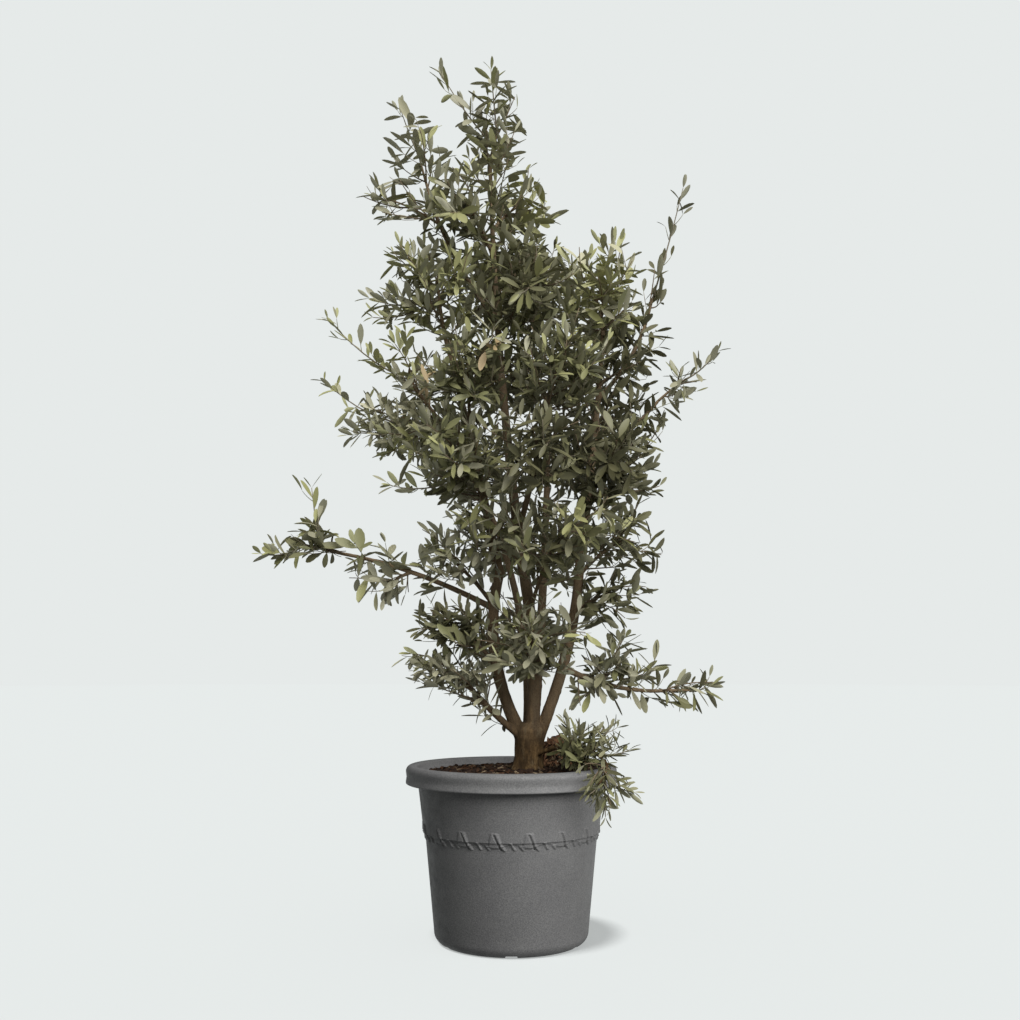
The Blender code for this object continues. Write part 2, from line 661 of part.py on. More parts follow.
def collar_tube(line, radii, end, sides):
    """Mesh data of a collar: the first piece of a side limb, up to its cut face."""
    t = np.array([0.0, end])
    axes = [heading(line, end)] * 2
    return tube(point_on(line, t), axes, radii[0] + (radii[1] - radii[0]) * t, sides)


def beyond(line, t):
    """The part of a line that lies one gap further on than t."""
    return t + GAP / line_length(line)


# ================================================================ room for the masses
class Room:
    """Keeps account of which space belongs to which mass, and of what stands in it."""

    def __init__(self):
        self.names = list(MASSES)
        self.centres = np.array([MASSES[n][2] for n in self.names])
        self.radii = np.array([MASSES[n][3] for n in self.names])
        self.solid_points = []
        self.solid_radii = []
        self.owners = []
        self.shoots = []

    def add(self, owner, points, radii):
        """Record a piece of wood, owned by a limb or by one mass."""
        self.solid_points.append(points)
        self.solid_radii.append(radii)
        self.owners.append(owner)

    def clear(self, points, owner, room, without=()):
        """True where the points stay clear of all wood but their own by the room."""
        for place, radius, name in zip(self.solid_points, self.solid_radii, self.owners):
            if name == owner or name in without:
                continue
            extra = STEM_ROOM if name in MASSES else 0.0
            apart = np.linalg.norm(points[:, None] - place[None], axis=2) - radius[None]
            if apart.min() < room + extra:
                return False
        return self.clear_of_pot(points, room)

    def clear_of_pot(self, points, room):
        """True where the points stay off the pot and above the soil."""
        reach = np.hypot(points[:, 0], points[:, 1])
        over_rim = points[:, 2] > POT_HEIGHT + room
        outside = reach > RIM_RADIUS + room
        ground = soil_height(points[:, 0], points[:, 1]) + 0.006
        inside = (reach < RIM_INNER - 0.01) & (points[:, 2] > ground)
        above_soil = (reach > RIM_INNER) | (points[:, 2] > ground)
        return bool(((over_rim & above_soil) | outside | inside).all())

    def shoot_distance(self, points, line):
        """Distance of each point from a shoot's path."""
        spots = point_on(line, np.linspace(0.0, 1.0, 40))
        return np.linalg.norm(points[:, None] - spots[None], axis=2).min(axis=1)

    def owns(self, owner, points):
        """True if every point lies in the owner's own space."""
        k = self.names.index(owner)
        away = np.linalg.norm((points[:, None] - self.centres) / self.radii, axis=2)
        mine = away[:, k]
        others = np.delete(away, k, axis=1).min(axis=1)
        fits = (mine <= OVERREACH) & (mine + CELL_MARGIN <= others)
        for name, _, line in self.shoots:
            if name == owner:
                fits |= self.shoot_distance(points, line) < SHOOT_ROOM
        for name, _, line in self.shoots:
            if name != owner:
                fits &= self.shoot_distance(points, line) > SHOOT_ROOM + 0.004
        return bool(fits.all())


# ================================================================ leaves and twigs
def leaf_frame(way, rng):
    """Across and up directions of a leaf that grows along way, its face turned at random."""
    turn = rng.uniform(0.0, 2.0 * math.pi)
    lean = np.array([math.cos(turn), math.sin(turn), rng.uniform(-0.3, 0.6)])
    across = unit(np.cross(way, lean))
    return across, unit(np.cross(across, way))


def leaf_shape(root, way, length, across, up):
    """Corners of a leaf: root, tip, then left edge, ridge and right edge where widest."""
    middle = root + LEAF_WIDEST * length * way
    half = 0.5 * LEAF_WIDTH * length
    ridge = middle + LEAF_THICKNESS * length * up
    return np.array([root, root + length * way, middle + half * across, ridge,
                     middle - half * across])


LEAF_FACES = [(0, 2, 3), (0, 3, 4), (0, 4, 2), (1, 3, 2), (1, 4, 3), (1, 2, 4)]


def leaf_samples(shape):
    """Points along a leaf's middle and both its edges, beyond its root."""
    root, tip, left, _, right = shape
    t = np.linspace(0.14, 1.0, 10)[:, None]
    edge = np.linspace(0.0, 1.0, 6)[:, None]
    return np.vstack([root + t * (tip - root), left + edge * (tip - left),
                      right + edge * (tip - right)])


def apart_from(points, others, room):
    """True if no point comes nearer to the other points than the room."""
    if not others:
        return True
    other = np.vstack(others)
    return np.linalg.norm(points[:, None] - other[None], axis=2).min() > room


def place_leaf(room, owner, root, way, size, rng, taken):
    """A leaf at root, as long as its place lets it be, or None where none fits."""
    across, up = leaf_frame(way, rng)
    for part in LEAF_SIZES:
        shape = leaf_shape(root, way, size * part, across, up)
        spots = leaf_samples(shape)
        if not apart_from(spots, taken, LEAF_ROOM):
            continue
        if room.owns(owner, spots) and room.clear(spots, owner, CLEAR):
            taken.append(spots)
            return shape
    return None


def leaf_size(name):
    """Leaf length in a mass: shorter in a small space."""
    return min(LEAF_LENGTH, LEAF_SHARE * float(np.mean(MASSES[name][3])))


def even_directions(count, rng):
    """Directions spread evenly over a ball, in a seeded attitude."""
    k = np.arange(count) + 0.5
    high = 1.0 - 2.0 * k / count
    turn = math.pi * (1.0 + math.sqrt(5.0)) * k + rng.uniform(0.0, 2.0 * math.pi)
    wide = np.sqrt(1.0 - high ** 2)
    return np.stack([wide * np.cos(turn), wide * np.sin(turn), high], axis=1)


def grow_twig(room, owner, stem, target, taken):
    """A straight twig from the stem towards target, or None where it would not fit."""
    centre, radii = (np.array(v) for v in MASSES[owner][2:4])
    for reach in REACHES:
        end = centre + reach * radii * target
        for s in best_fork(stem, end, 0.55, 1.0)[:8]:
            twig = path(point_on(stem, s)[0], end, (0.0, 0.0, 0.0))
            spots = point_on(twig, np.linspace(0.25, 1.0, 9))
            if not apart_from(spots, taken, 2.0 * LEAF_ROOM):
                continue
            if room.owns(owner, spots) and room.clear(spots, owner, CLEAR + TWIG_RADIUS):
                return twig
    return None


def twig_rings(twig, shape, across):
    """Corner points of a three-sided twig that runs on into the leaf at its tip."""
    way = heading(twig, 0.5)
    side = unit(across - np.dot(across, way) * way)
    top = np.cross(side, way)
    corners = []
    for t, width in ((0.0, TWIG_RADIUS), (1.0, TWIG_TIP)):
        place = point_on(twig, t)[0]
        corners += [place + width * (0.87 * side - 0.5 * top), place + width * top,
                    place - width * (0.87 * side + 0.5 * top)]
    if shape is not None:
        corners += [shape[2], shape[3], shape[4], shape[1]]
    return corners


def ring_faces(corners):
    """Triangles over rings of three corners, with a flat cap or one point at the end."""
    faces = [(0, 1, 2)]
    rings = len(corners) // 3
    for k in range(0, 3 * (rings - 1), 3):
        for i in range(3):
            a, b = k + i, k + (i + 1) % 3
            faces += [(a, b, b + 3), (a, b + 3, a + 3)]
    last = 3 * (rings - 1)
    if len(corners) % 3:
        point = len(corners) - 1
        faces += [(last, last + 1, point), (last + 1, last + 2, point),
                  (last + 2, last, point)]
    else:
        faces.append((last, last + 1, last + 2))
    return faces


def leafy_twig(room, owner, twig, size, places, pair, rng, taken):
    """Mesh data of a twig that ends in a leaf, and of the leaves along it.

    "pair" is the number of leaves at each place, 1 or 2.
    """
    way = heading(twig, 1.0)
    tip = point_on(twig, 1.0)[0]
    end_leaf = place_leaf(room, owner, tip, way, size, rng, taken)
    across = unit(np.cross(way, (0.2, 0.3, 1.0)))
    if end_leaf is not None:
        across = unit(end_leaf[2] - end_leaf[4])
    corners = twig_rings(twig, end_leaf, across)
    pieces = [(corners, ring_faces(corners))]
    turn = rng.uniform(0.0, math.pi)
    for k, t in enumerate(places):
        aside = unit(np.cross(way, (0.3, 0.2, 1.0)))
        angle = turn + 0.5 * math.pi * k
        spoke = math.cos(angle) * aside + math.sin(angle) * np.cross(way, aside)
        lean = math.radians(LEAF_ANGLE)
        for sign in (1.0, -1.0)[:pair]:
            out = math.cos(lean) * way + sign * math.sin(lean) * spoke
            root = point_on(twig, t)[0] - 0.0004 * out
            leaf = place_leaf(room, owner, root, out, size, rng, taken)
            if leaf is not None:
                pieces.append((leaf, LEAF_FACES))
    return pieces


# ================================================================ building the tree
def shoot_line(stem, tip, size):
    """The path of a long shoot: from the stem to one leaf's length short of its tip."""
    tip = np.array(tip)
    s = best_fork(stem, tip, 0.5, 1.0)[0]
    start = point_on(stem, s)[0]
    end = tip - SHOOT_LEAF * size * unit(tip - start)
    straight = (0.0, 0.0, 0.0)
    return path(start, end, straight), path(start, tip, straight)


def stem_choices(name, lines):
    """Paths that a mass's stem may take, the best first, with the collar's carrier."""
    carrier, where, centre, _, _ = MASSES[name]
    line, radii = lines[carrier]
    if where == "tip":
        start, way = tip_start(line)
        bow = 0.10 * np.linalg.norm(np.array(centre) - start) * way
        return [(path(start, centre, bow), (radii[1] * 0.95, STEM_TIP), None)]
    choices = []
    for s in best_fork(line, centre, 0.08, 0.92):
        start = point_on(line, s)[0]
        thick = min(STEM_RADIUS, 0.72 * (radii[0] + (radii[1] - radii[0]) * s))
        bow = 0.06 * np.linalg.norm(np.array(centre) - start) * heading(line, s)
        choices.append((path(start, centre, bow), (thick, STEM_TIP), s))
    return choices


def route_stems(room, lines):
    """Choose each mass's stem: the first path that clears every limb and other stem."""
    stems = {}
    for name in MASSES:
        carrier = MASSES[name][0]
        for line, radii, s in stem_choices(name, lines):
            points, sizes = beads(line, radii)
            if s is None:
                begin, outer = 0.0, points[2:]
            else:
                begin = collar_end(line, radii[0], *beads(*lines[carrier]))
                outer = point_on(line, np.linspace(begin * 0.9, 1.0, 30))
            if room.clear(outer, name, radii[0] + CLEAR, without=(carrier,)):
                break
        else:
            raise ValueError("no way for the stem of " + name)
        stems[name] = (line, radii, begin)
        room.add(name, points, sizes)
    return stems


def mass_pieces(name, index, stem, room):
    """Mesh data of all the twigs and leaves of one mass."""
    rng = np.random.default_rng(SEED + index)
    size = leaf_size(name)
    taken = []
    twigs = []
    for owner, shoot, _ in room.shoots:
        if owner == name:
            count = max(1, round(line_length(shoot) / SHOOT_STEP))
            places = np.linspace(0.5, 0.93, count)
            twigs.append((shoot, SHOOT_LEAF * size, places, 2))
            taken.append(point_on(shoot, np.linspace(0.2, 1.0, 20)))
    ahead = unit(heading(stem, 1.0) / np.array(MASSES[name][3]))
    for target in [ahead, *even_directions(TWIGS, rng)]:
        twig = grow_twig(room, name, stem, target, taken)
        if twig is not None:
            twigs.append((twig, size, (LEAF_PLACE,), 1 + len(twigs) % 2))
            taken.append(point_on(twig, np.linspace(0.3, 1.0, 12)))
    pieces = []
    for twig, length, places, pair in twigs:
        pieces += leafy_twig(room, name, twig, length, places, pair, rng, taken)
    return pieces


def build_mass(name, index, stem, room):
    """One mass of leaves: its stem, twigs, shoots and leaves joined into one solid."""
    line, radii, begin = stem
    carrier, where = MASSES[name][:2]
    if where == "tip":
        verts, faces = limb_tube(line, radii, 0.0, ARM_SIDES, tip_heading[carrier])
    else:
        start = beyond(line, begin)
        verts, faces = limb_tube(line, radii, start, STEM_SIDES)
    mass = new_object(name, verts, faces, LEAF_GREEN)
    pieces = mass_pieces(name, index, line, room)
    helpers = [new_object("piece", *piece, LEAF_GREEN) for piece in pieces]
    combine(mass, "UNION", helpers)
    return mass


def limb_sides(radii):
    """Sides of a limb's rings: fewer on a thin one."""
    return ARM_SIDES if radii[0] < THIN_LIMB else LIMB_SIDES


lines = limb_lines()
tip_heading = {name: heading(line, 1.0) for name, (line, radii) in lines.items()}
room = Room()
room.add("trunk", *trunk_beads())
for limb, (line, radii) in lines.items():
    room.add(limb, *beads(line, radii))
stems = route_stems(room, lines)
for mass_name in MASSES:
    for tip in MASSES[mass_name][4]:
        line = stems[mass_name][0]
        room.shoots.append((mass_name, *shoot_line(line, tip, leaf_size(mass_name))))

build_pot()
build_soil()

# Limb bodies, then their collars, so that each limb is one solid with its collars.
bodies = {"trunk": trunk_body()}
collars = {name: [] for name in ["trunk", *LIMBS]}
for limb, (line, radii) in lines.items():
    carrier, where = LIMBS[limb][:2]
    if where == "tip":
        verts, faces = limb_tube(line, radii, 0.0, LIMB_SIDES, tip_heading[carrier])
        bodies[limb] = new_object(limb, verts, faces, BARK)
        continue
    carrier_beads = trunk_beads() if carrier == "trunk" else beads(*lines[carrier])
    cut = collar_end(line, radii[0], *carrier_beads)
    sides = limb_sides(radii)
    collars[carrier].append(collar_tube(line, radii, cut, sides))
    verts, faces = limb_tube(line, radii, beyond(line, cut), sides)
    bodies[limb] = new_object(limb, verts, faces, BARK)
for mass_name, (line, radii, begin) in stems.items():
    if MASSES[mass_name][1] == "side":
        collar = collar_tube(line, radii, begin, STEM_SIDES)
        collars[MASSES[mass_name][0]].append(collar)
for limb, shapes in collars.items():
    if shapes:
        combine(bodies[limb], "UNION",
                [new_object("collar", *shape, BARK) for shape in shapes])

for index, mass_name in enumerate(MASSES):
    build_mass(mass_name, index, stems[mass_name], room)
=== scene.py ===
# %% [markdown]
# # An olive tree in a pot, from solids to finished surfaces
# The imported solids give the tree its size, its limbs and the spaces that its leaves fill.
# This lesson dresses them: a moulded pot, potting mix with bark chips, a welded bark skin,
# and twigs with real leaves grown by the rule of the solids, carried on to finer twigs.
# Everything is worked out with numpy in metres, in the frame of the solids: the origin is
# the centre of the pot's flat underside, +Z is up and -Y is the front.

# %% Load the solids
import math

import bpy
import numpy as np
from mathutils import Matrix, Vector


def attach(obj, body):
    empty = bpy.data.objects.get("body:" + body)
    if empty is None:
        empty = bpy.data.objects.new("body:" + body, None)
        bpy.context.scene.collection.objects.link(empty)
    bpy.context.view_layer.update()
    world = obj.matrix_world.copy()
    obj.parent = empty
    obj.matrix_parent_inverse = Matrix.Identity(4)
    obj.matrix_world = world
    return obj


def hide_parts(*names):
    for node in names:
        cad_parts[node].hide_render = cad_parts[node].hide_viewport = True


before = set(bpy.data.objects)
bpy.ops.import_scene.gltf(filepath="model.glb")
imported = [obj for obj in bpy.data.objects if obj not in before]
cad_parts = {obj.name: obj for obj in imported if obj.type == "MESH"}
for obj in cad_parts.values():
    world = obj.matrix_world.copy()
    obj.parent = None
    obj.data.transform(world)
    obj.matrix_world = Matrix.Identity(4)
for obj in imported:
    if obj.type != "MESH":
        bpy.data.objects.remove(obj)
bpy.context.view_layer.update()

# %% [markdown]
# ## Meshes from arrays
# A mesh is three lists: points, the corners of each face, and where each face's corners
# begin. Blender can take each of them as one flat array, which is far quicker than adding
# points one by one. Every finished piece stays at the origin, with its place in its points,
# so that patterns on object coordinates sit still when the part is moved or exported.


# %% One helper that makes a piece
def placed(name, data):
    """An object that holds a mesh, a lamp or a camera, put into the scene."""
    thing = bpy.data.objects.new(name, data)
    bpy.context.scene.collection.objects.link(thing)
    return thing


def new_piece(name, points, faces, materials, choice=None, nodes=(), smooth=True):
    """A piece from points (N, 3) and one or more arrays of faces (F, corners).

    choice is the material of each face, and nodes are the solids that the piece replaces.
    """
    faces = [np.asarray(part, np.int32) for part in faces if len(part)]
    widths = np.concatenate([np.full(len(part), part.shape[1]) for part in faces])
    corners = np.concatenate([part.ravel() for part in faces])
    mesh = bpy.data.meshes.new(name)
    mesh.vertices.add(len(points))
    mesh.vertices.foreach_set("co", np.asarray(points, np.float32).ravel())
    mesh.loops.add(len(corners))
    mesh.loops.foreach_set("vertex_index", corners)
    mesh.polygons.add(len(widths))
    mesh.polygons.foreach_set("loop_start", np.cumsum(widths) - widths)
    for material in materials:
        mesh.materials.append(material)
    if choice is not None:
        mesh.polygons.foreach_set("material_index", np.asarray(choice, np.int32))
    mesh.polygons.foreach_set("use_smooth", np.full(len(widths), smooth))
    mesh.update(calc_edges=True)
    piece = placed(name, mesh)
    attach(piece, "root")
    if nodes:
        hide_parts(*nodes)
    print(name, len(points), "points,", int((widths - 2).sum()), "triangles")
    return piece


# %% Vectors, rings and grids of faces
def unit(v):
    """Each vector divided by its own length."""
    v = np.asarray(v, float)
    return v / np.maximum(1e-9, np.linalg.norm(v, axis=-1, keepdims=True))


def grid_faces(rows, columns):
    """Quads of a grid whose columns close into a ring: corner, next column, next row, back."""
    k, i = np.meshgrid(np.arange(rows - 1), np.arange(columns), indexing="ij")
    j = (i + 1) % columns
    low, high = k * columns, (k + 1) * columns
    return np.stack([low + i, low + j, high + j, high + i], axis=-1).reshape(-1, 4)


def end_fans(rows, columns, middle):
    """Triangles that close both ends of such a grid, round points middle and middle + 1."""
    i = np.arange(columns)
    j = (i + 1) % columns
    last = (rows - 1) * columns
    return np.concatenate([np.stack([np.full_like(i, middle), j, i], axis=1),
                           np.stack([np.full_like(i, middle + 1), last + i, last + j], axis=1)])


def ring_angles(count):
    """Angles evenly round a circle, in radians."""
    return np.arange(count) * 2.0 * math.pi / count


def lattice_noise(points, seed):
    """Smooth noise from -1 to 1: random values on a unit lattice, eased between corners."""
    base = np.floor(points).astype(np.int64)
    part = points - base
    ease = part * part * (3.0 - 2.0 * part)
    total = np.zeros(len(points))
    for corner in np.ndindex(2, 2, 2):
        key = ((base + corner) * (73856093, 19349663, 83492791)).sum(axis=1) + seed * 7919
        key = (key ^ (key >> 13)) * 1274126177 & 0x7FFFFFFF
        key = (key ^ (key >> 16)) * 668265263 & 0x7FFFFFFF
        weight = np.where(corner, ease, 1.0 - ease).prod(axis=1)
        total += weight * ((key >> 8) % 65536 / 32767.5 - 1.0)
    return total


print("noise at three places:", lattice_noise(np.array([[0.5, 0.5, 0.5], [1.2, 3.4, 5.6],
                                                       [9.1, 8.2, 7.3]]), 1).round(3))

# %% [markdown]
# ## The finishes
# Each finish is a small node tree on the Principled shader. Object coordinates are in
# metres, so a noise scale of 500 gives grains about 2 mm wide. Roughness varies a little
# everywhere, because no moulded or grown surface is equally shiny all over, and a bump
# gives the finest relief, which would cost too many faces as real shape.


# %% A starting material and the few nodes it needs
def finish(name, colour, roughness, specular=0.5):
    """A Principled material, its node tree and its shader."""
    material = bpy.data.materials.new(name)
    material.use_nodes = True
    tree = material.node_tree
    shader = tree.nodes["Principled BSDF"]
    shader.inputs["Base Color"].default_value = (*colour, 1.0)
    shader.inputs["Roughness"].default_value = roughness
    shader.inputs["Specular IOR Level"].default_value = specular
    material.diffuse_color = (*colour, 1.0)
    return material, tree, shader


def noise(tree, scale, detail=3.0, stretch=(1.0, 1.0, 1.0), roughness=0.5):
    """A noise pattern on object coordinates, in a space stretched along the axes."""
    place = tree.nodes.new("ShaderNodeTexCoord")
    mapping = tree.nodes.new("ShaderNodeMapping")
    mapping.inputs["Scale"].default_value = stretch
    pattern = tree.nodes.new("ShaderNodeTexNoise")
    pattern.inputs["Scale"].default_value = scale
    pattern.inputs["Detail"].default_value = detail
    pattern.inputs["Roughness"].default_value = roughness
    tree.links.new(place.outputs["Object"], mapping.inputs["Vector"])
    tree.links.new(mapping.outputs["Vector"], pattern.inputs["Vector"])
    return pattern.outputs["Fac"]


def height(tree):
    """The Z of object coordinates: metres above the floor."""
    place = tree.nodes.new("ShaderNodeTexCoord")
    parts = tree.nodes.new("ShaderNodeSeparateXYZ")
    tree.links.new(place.outputs["Object"], parts.inputs["Vector"])
    return parts.outputs["Z"]


def ramp(tree, value, stops):
    """Colours dealt out over a value: stops are (place, (r, g, b))."""
    node = tree.nodes.new("ShaderNodeValToRGB")
    elements = node.color_ramp.elements
    while len(elements) < len(stops):
        elements.new(0.5)
    for element, (place, colour) in zip(elements, stops):
        element.position = place
        element.color = (*colour, 1.0)
    tree.links.new(value, node.inputs["Fac"])
    return node.outputs["Color"]


def spread(tree, value, low, high, begin=0.3, end=0.7):
    """A value that runs from low to high while the pattern runs from begin to end."""
    node = tree.nodes.new("ShaderNodeMapRange")
    for socket, number in (("From Min", begin), ("From Max", end), ("To Min", low),
                           ("To Max", high)):
        node.inputs[socket].default_value = number
    tree.links.new(value, node.inputs["Value"])
    return node.outputs["Result"]


def blend_colours(tree, kind, factor, first, second):
    """Two colours mixed, multiplied or lightened by a factor, a number or a pattern."""
    node = tree.nodes.new("ShaderNodeMix")
    node.data_type = "RGBA"
    node.blend_type = kind
    if isinstance(factor, float):
        node.inputs["Factor"].default_value = factor
    else:
        tree.links.new(factor, node.inputs["Factor"])
    for socket, colour in ((node.inputs["A"], first), (node.inputs["B"], second)):
        if isinstance(colour, tuple):
            socket.default_value = (*colour, 1.0)
        else:
            tree.links.new(colour, socket)
    return node.outputs["Result"]


def relief(tree, shader, pattern, distance, strength, under=None):
    """A bump from a pattern taken as height; under is a coarser bump that it lies on."""
    node = tree.nodes.new("ShaderNodeBump")
    node.inputs["Distance"].default_value = distance
    node.inputs["Strength"].default_value = strength
    tree.links.new(pattern, node.inputs["Height"])
    if under is not None:
        tree.links.new(under, node.inputs["Normal"])
    tree.links.new(node.outputs["Normal"], shader.inputs["Normal"])
    return node.outputs["Normal"]


# %% [markdown]
# ## Moulded grey plastic
# The pot is rotation-moulded plastic. The mould is sand-blasted, which leaves a fine
# stipple, and the pigment clouds a little. Handling rubs the high places of the stipple
# paler, and a thin veil of dust stays in the low ones. Three scales of noise say all that.
# The upper wall is painted paler and the foot darker, as painted light that falls more on the top.


# %% The pot's plastic
# Painted light: how much paler the wall is painted at each height, darker towards the foot.
PAINTED_LIGHT_BY_HEIGHT = ((0.06, 0.85), (0.20, 0.95), (0.33, 1.12), (0.425, 1.30), (0.436, 1.30),
            (0.450, 1.10))        # how pale at each height, in metres


def pot_plastic():
    """Grey plastic: clouded colour, speckle, rubbed marks, painted light by height, a stipple as
    bump.
    """
    material, tree, shader = finish("stippled_plastic", (0.080, 0.079, 0.078), 0.60, 0.22)
    clouds = ramp(tree, noise(tree, 9.0, 3.0), [(0.30, (0.074, 0.073, 0.073)),
                                                (0.70, (0.087, 0.086, 0.085))])
    speckle = ramp(tree, noise(tree, 300.0, 3.0), [(0.34, (0.77, 0.77, 0.78)),
                                                   (0.66, (1.20, 1.20, 1.19))])
    shade = blend_colours(tree, "MULTIPLY", 1.0, clouds, speckle)
    rubbed = spread(tree, noise(tree, 5.0, 6.0, (1.0, 1.0, 0.25), 0.65), 0.0, 0.26, 0.58, 0.80)
    shade = blend_colours(tree, "MIX", rubbed, shade, (0.118, 0.117, 0.114))
    # Painted light: the colour grows paler up the wall and darker towards the foot.
    painted_light = ramp(tree, height(tree), [(at, (light,) * 3) for at, light in PAINTED_LIGHT_BY_HEIGHT])
    shade = blend_colours(tree, "MULTIPLY", 1.0, shade, painted_light)
    tree.links.new(shade, shader.inputs["Base Color"])
    tree.links.new(spread(tree, noise(tree, 40.0, 4.0), 0.52, 0.70), shader.inputs["Roughness"])
    waves = relief(tree, shader, noise(tree, 14.0, 2.0), 0.004, 0.10)
    relief(tree, shader, noise(tree, 420.0, 2.0), 0.0012, 0.55, waves)
    return material


POT_PLASTIC = pot_plastic()
print("finish:", POT_PLASTIC.name)

# %% [markdown]
# ## The pot
# The real pot is one turned shell: a flat base with drain notches, a tapering wall, a belt
# of relief, and a rim turned down on the outside. Spinning a profile gives the shell, but
# the belt repeats around it. So the radius is written as a function of two parameters, the
# place along the profile and the angle, and the belt is added to the radius where it is due.

# %% The pot's sizes
POT_HEIGHT = 0.481
RIM_RADIUS = 0.300
RIM_FACE = 0.050
RIM_WAIST = 0.0020                # how far the face draws in under its roll
RIM_INNER = 0.269
BODY_TOP_RADIUS = 0.266
SKIRT_RADIUS = 0.249
BELT_RADIUS = 0.243
BELT_HEIGHT = 0.299
BASE_RADIUS = 0.216
BASE_CORNER = 0.030
WALL = 0.006
POT_FLOOR = 0.010
MIDDLE = 0.004                    # radius at which the profile ends and a fan goes on
TABS = 17
TAB_FIRST = 11.1                  # degrees from the front towards +X
BELT_BELOW = 0.026                # how far the belt's fine rows reach under its ledge
BELT_ABOVE = 0.030                # and over it
BELT_ROWS = 46
SOFT_EDGE = 0.0022                # metres in which a mask of the belt goes from 0 to 1
NOTCHES = 6
NOTCH_HEIGHT = 0.008
NOTCH_HALF = 0.0175               # half of a drain notch's width
NOTCH_INNER = BASE_RADIUS - 0.056 # from here outwards
POT_COLUMNS = 680


def round_corner(centre, radius, begin, end, count):
    """Points (radius, height) of an arc: centre plus radius times cosine and sine."""
    a = np.radians(np.linspace(begin, end, count))
    return np.stack([centre[0] + radius * np.cos(a), centre[1] + radius * np.sin(a)], axis=1)


def straight(begin, end, count):
    """Points evenly along a straight line, without its last point."""
    return np.linspace(begin, end, count, endpoint=False)


def pot_profile():
    """The section from the middle of the underside, up outside, over the rim and down."""
    low = POT_HEIGHT - RIM_FACE
    flat = BASE_RADIUS - BASE_CORNER
    belt_foot = (BELT_RADIUS - 0.002, BELT_HEIGHT - BELT_BELOW)
    belt_head = BELT_HEIGHT + BELT_ABOVE
    parts = [
        straight((MIDDLE, 0.0), (NOTCH_INNER, 0.0), 3),
        straight((NOTCH_INNER, 0.0), (flat, 0.0), 3),
        round_corner((flat, BASE_CORNER), BASE_CORNER, -90, 0, 14)[:-1],
        straight((BASE_RADIUS, BASE_CORNER), belt_foot, 9),
        straight(belt_foot, (BELT_RADIUS + 0.003, belt_head), BELT_ROWS),
        straight((SKIRT_RADIUS + 0.003, belt_head), (BODY_TOP_RADIUS - 0.001, low - 0.004), 5),
        straight((BODY_TOP_RADIUS - 0.001, low - 0.004), (BODY_TOP_RADIUS, POT_HEIGHT - 0.016), 3),
        round_corner((BODY_TOP_RADIUS + 0.004, POT_HEIGHT - 0.018), 0.004, 180, 90, 4),
        straight((BODY_TOP_RADIUS + 0.008, POT_HEIGHT - 0.014),
                 (RIM_RADIUS - 0.010, POT_HEIGHT - 0.014), 2),
        round_corner((RIM_RADIUS - 0.010, POT_HEIGHT - 0.018), 0.004, 90, 0, 4),
        straight((RIM_RADIUS - WALL, POT_HEIGHT - 0.019), (RIM_RADIUS - WALL, low + 0.002), 2),
        round_corner((RIM_RADIUS - 0.003, low + 0.003), 0.003, 180, 360, 8),
        straight((RIM_RADIUS, low + 0.004), (RIM_RADIUS - RIM_WAIST, POT_HEIGHT - 0.031), 4),
        straight((RIM_RADIUS - RIM_WAIST, POT_HEIGHT - 0.031),
                 (RIM_RADIUS - 0.0005, POT_HEIGHT - 0.0190), 2),
        round_corner((RIM_RADIUS - 0.0150, POT_HEIGHT - 0.0150), 0.0150, -8, 90, 10),
        round_corner((RIM_INNER + 0.007, POT_HEIGHT - 0.007), 0.007, 90, 180, 6),
        straight((RIM_INNER, POT_HEIGHT - 0.008), (RIM_INNER - 0.010, low), 3),
        straight((RIM_INNER - 0.010, low), (BELT_RADIUS - WALL, BELT_HEIGHT), 3),
        straight((BELT_RADIUS - WALL, BELT_HEIGHT), (BASE_RADIUS - WALL, BASE_CORNER), 4),
        round_corner((flat, POT_FLOOR + 0.024), 0.024, 0, -90, 6),
        straight((flat - 0.01, POT_FLOOR), (MIDDLE, POT_FLOOR), 3),
    ]
    return np.concatenate(parts)


print("profile points:", len(pot_profile()), "columns:", POT_COLUMNS)

# %% [markdown]
# ## The belt in relief
# Round the pot runs a belt like a cloth tied on with tabs: a ledge where the wall steps in,
# a tab that stands up over the ledge at seventeen places, a slanting tooth half way between
# two tabs, and a hem that hangs in points. One period of it is a few soft-edged masks of the
# angle and the height, and the sum of the masks is the radius that is added.


# %% One period of the belt
def soft_step(value, width):
    """0 below -width/2, 1 above +width/2, an easy curve between."""
    part = np.clip(value / width + 0.5, 0.0, 1.0)
    return part * part * (3.0 - 2.0 * part)


def strip(across, rise, foot, top, low, high):
    """A slanting strip: its middle runs from foot to top as rise goes from low to high.

    foot and top are (middle, half width), in metres around the pot.
    """
    part = np.clip((rise - low) / (high - low), 0.0, 1.0)
    middle = foot[0] + part * (top[0] - foot[0])
    half = foot[1] + part * (top[1] - foot[1])
    inside = soft_step(half - np.abs(across - middle), SOFT_EDGE)
    return inside * soft_step(rise - low, SOFT_EDGE) * soft_step(high - rise, SOFT_EDGE)


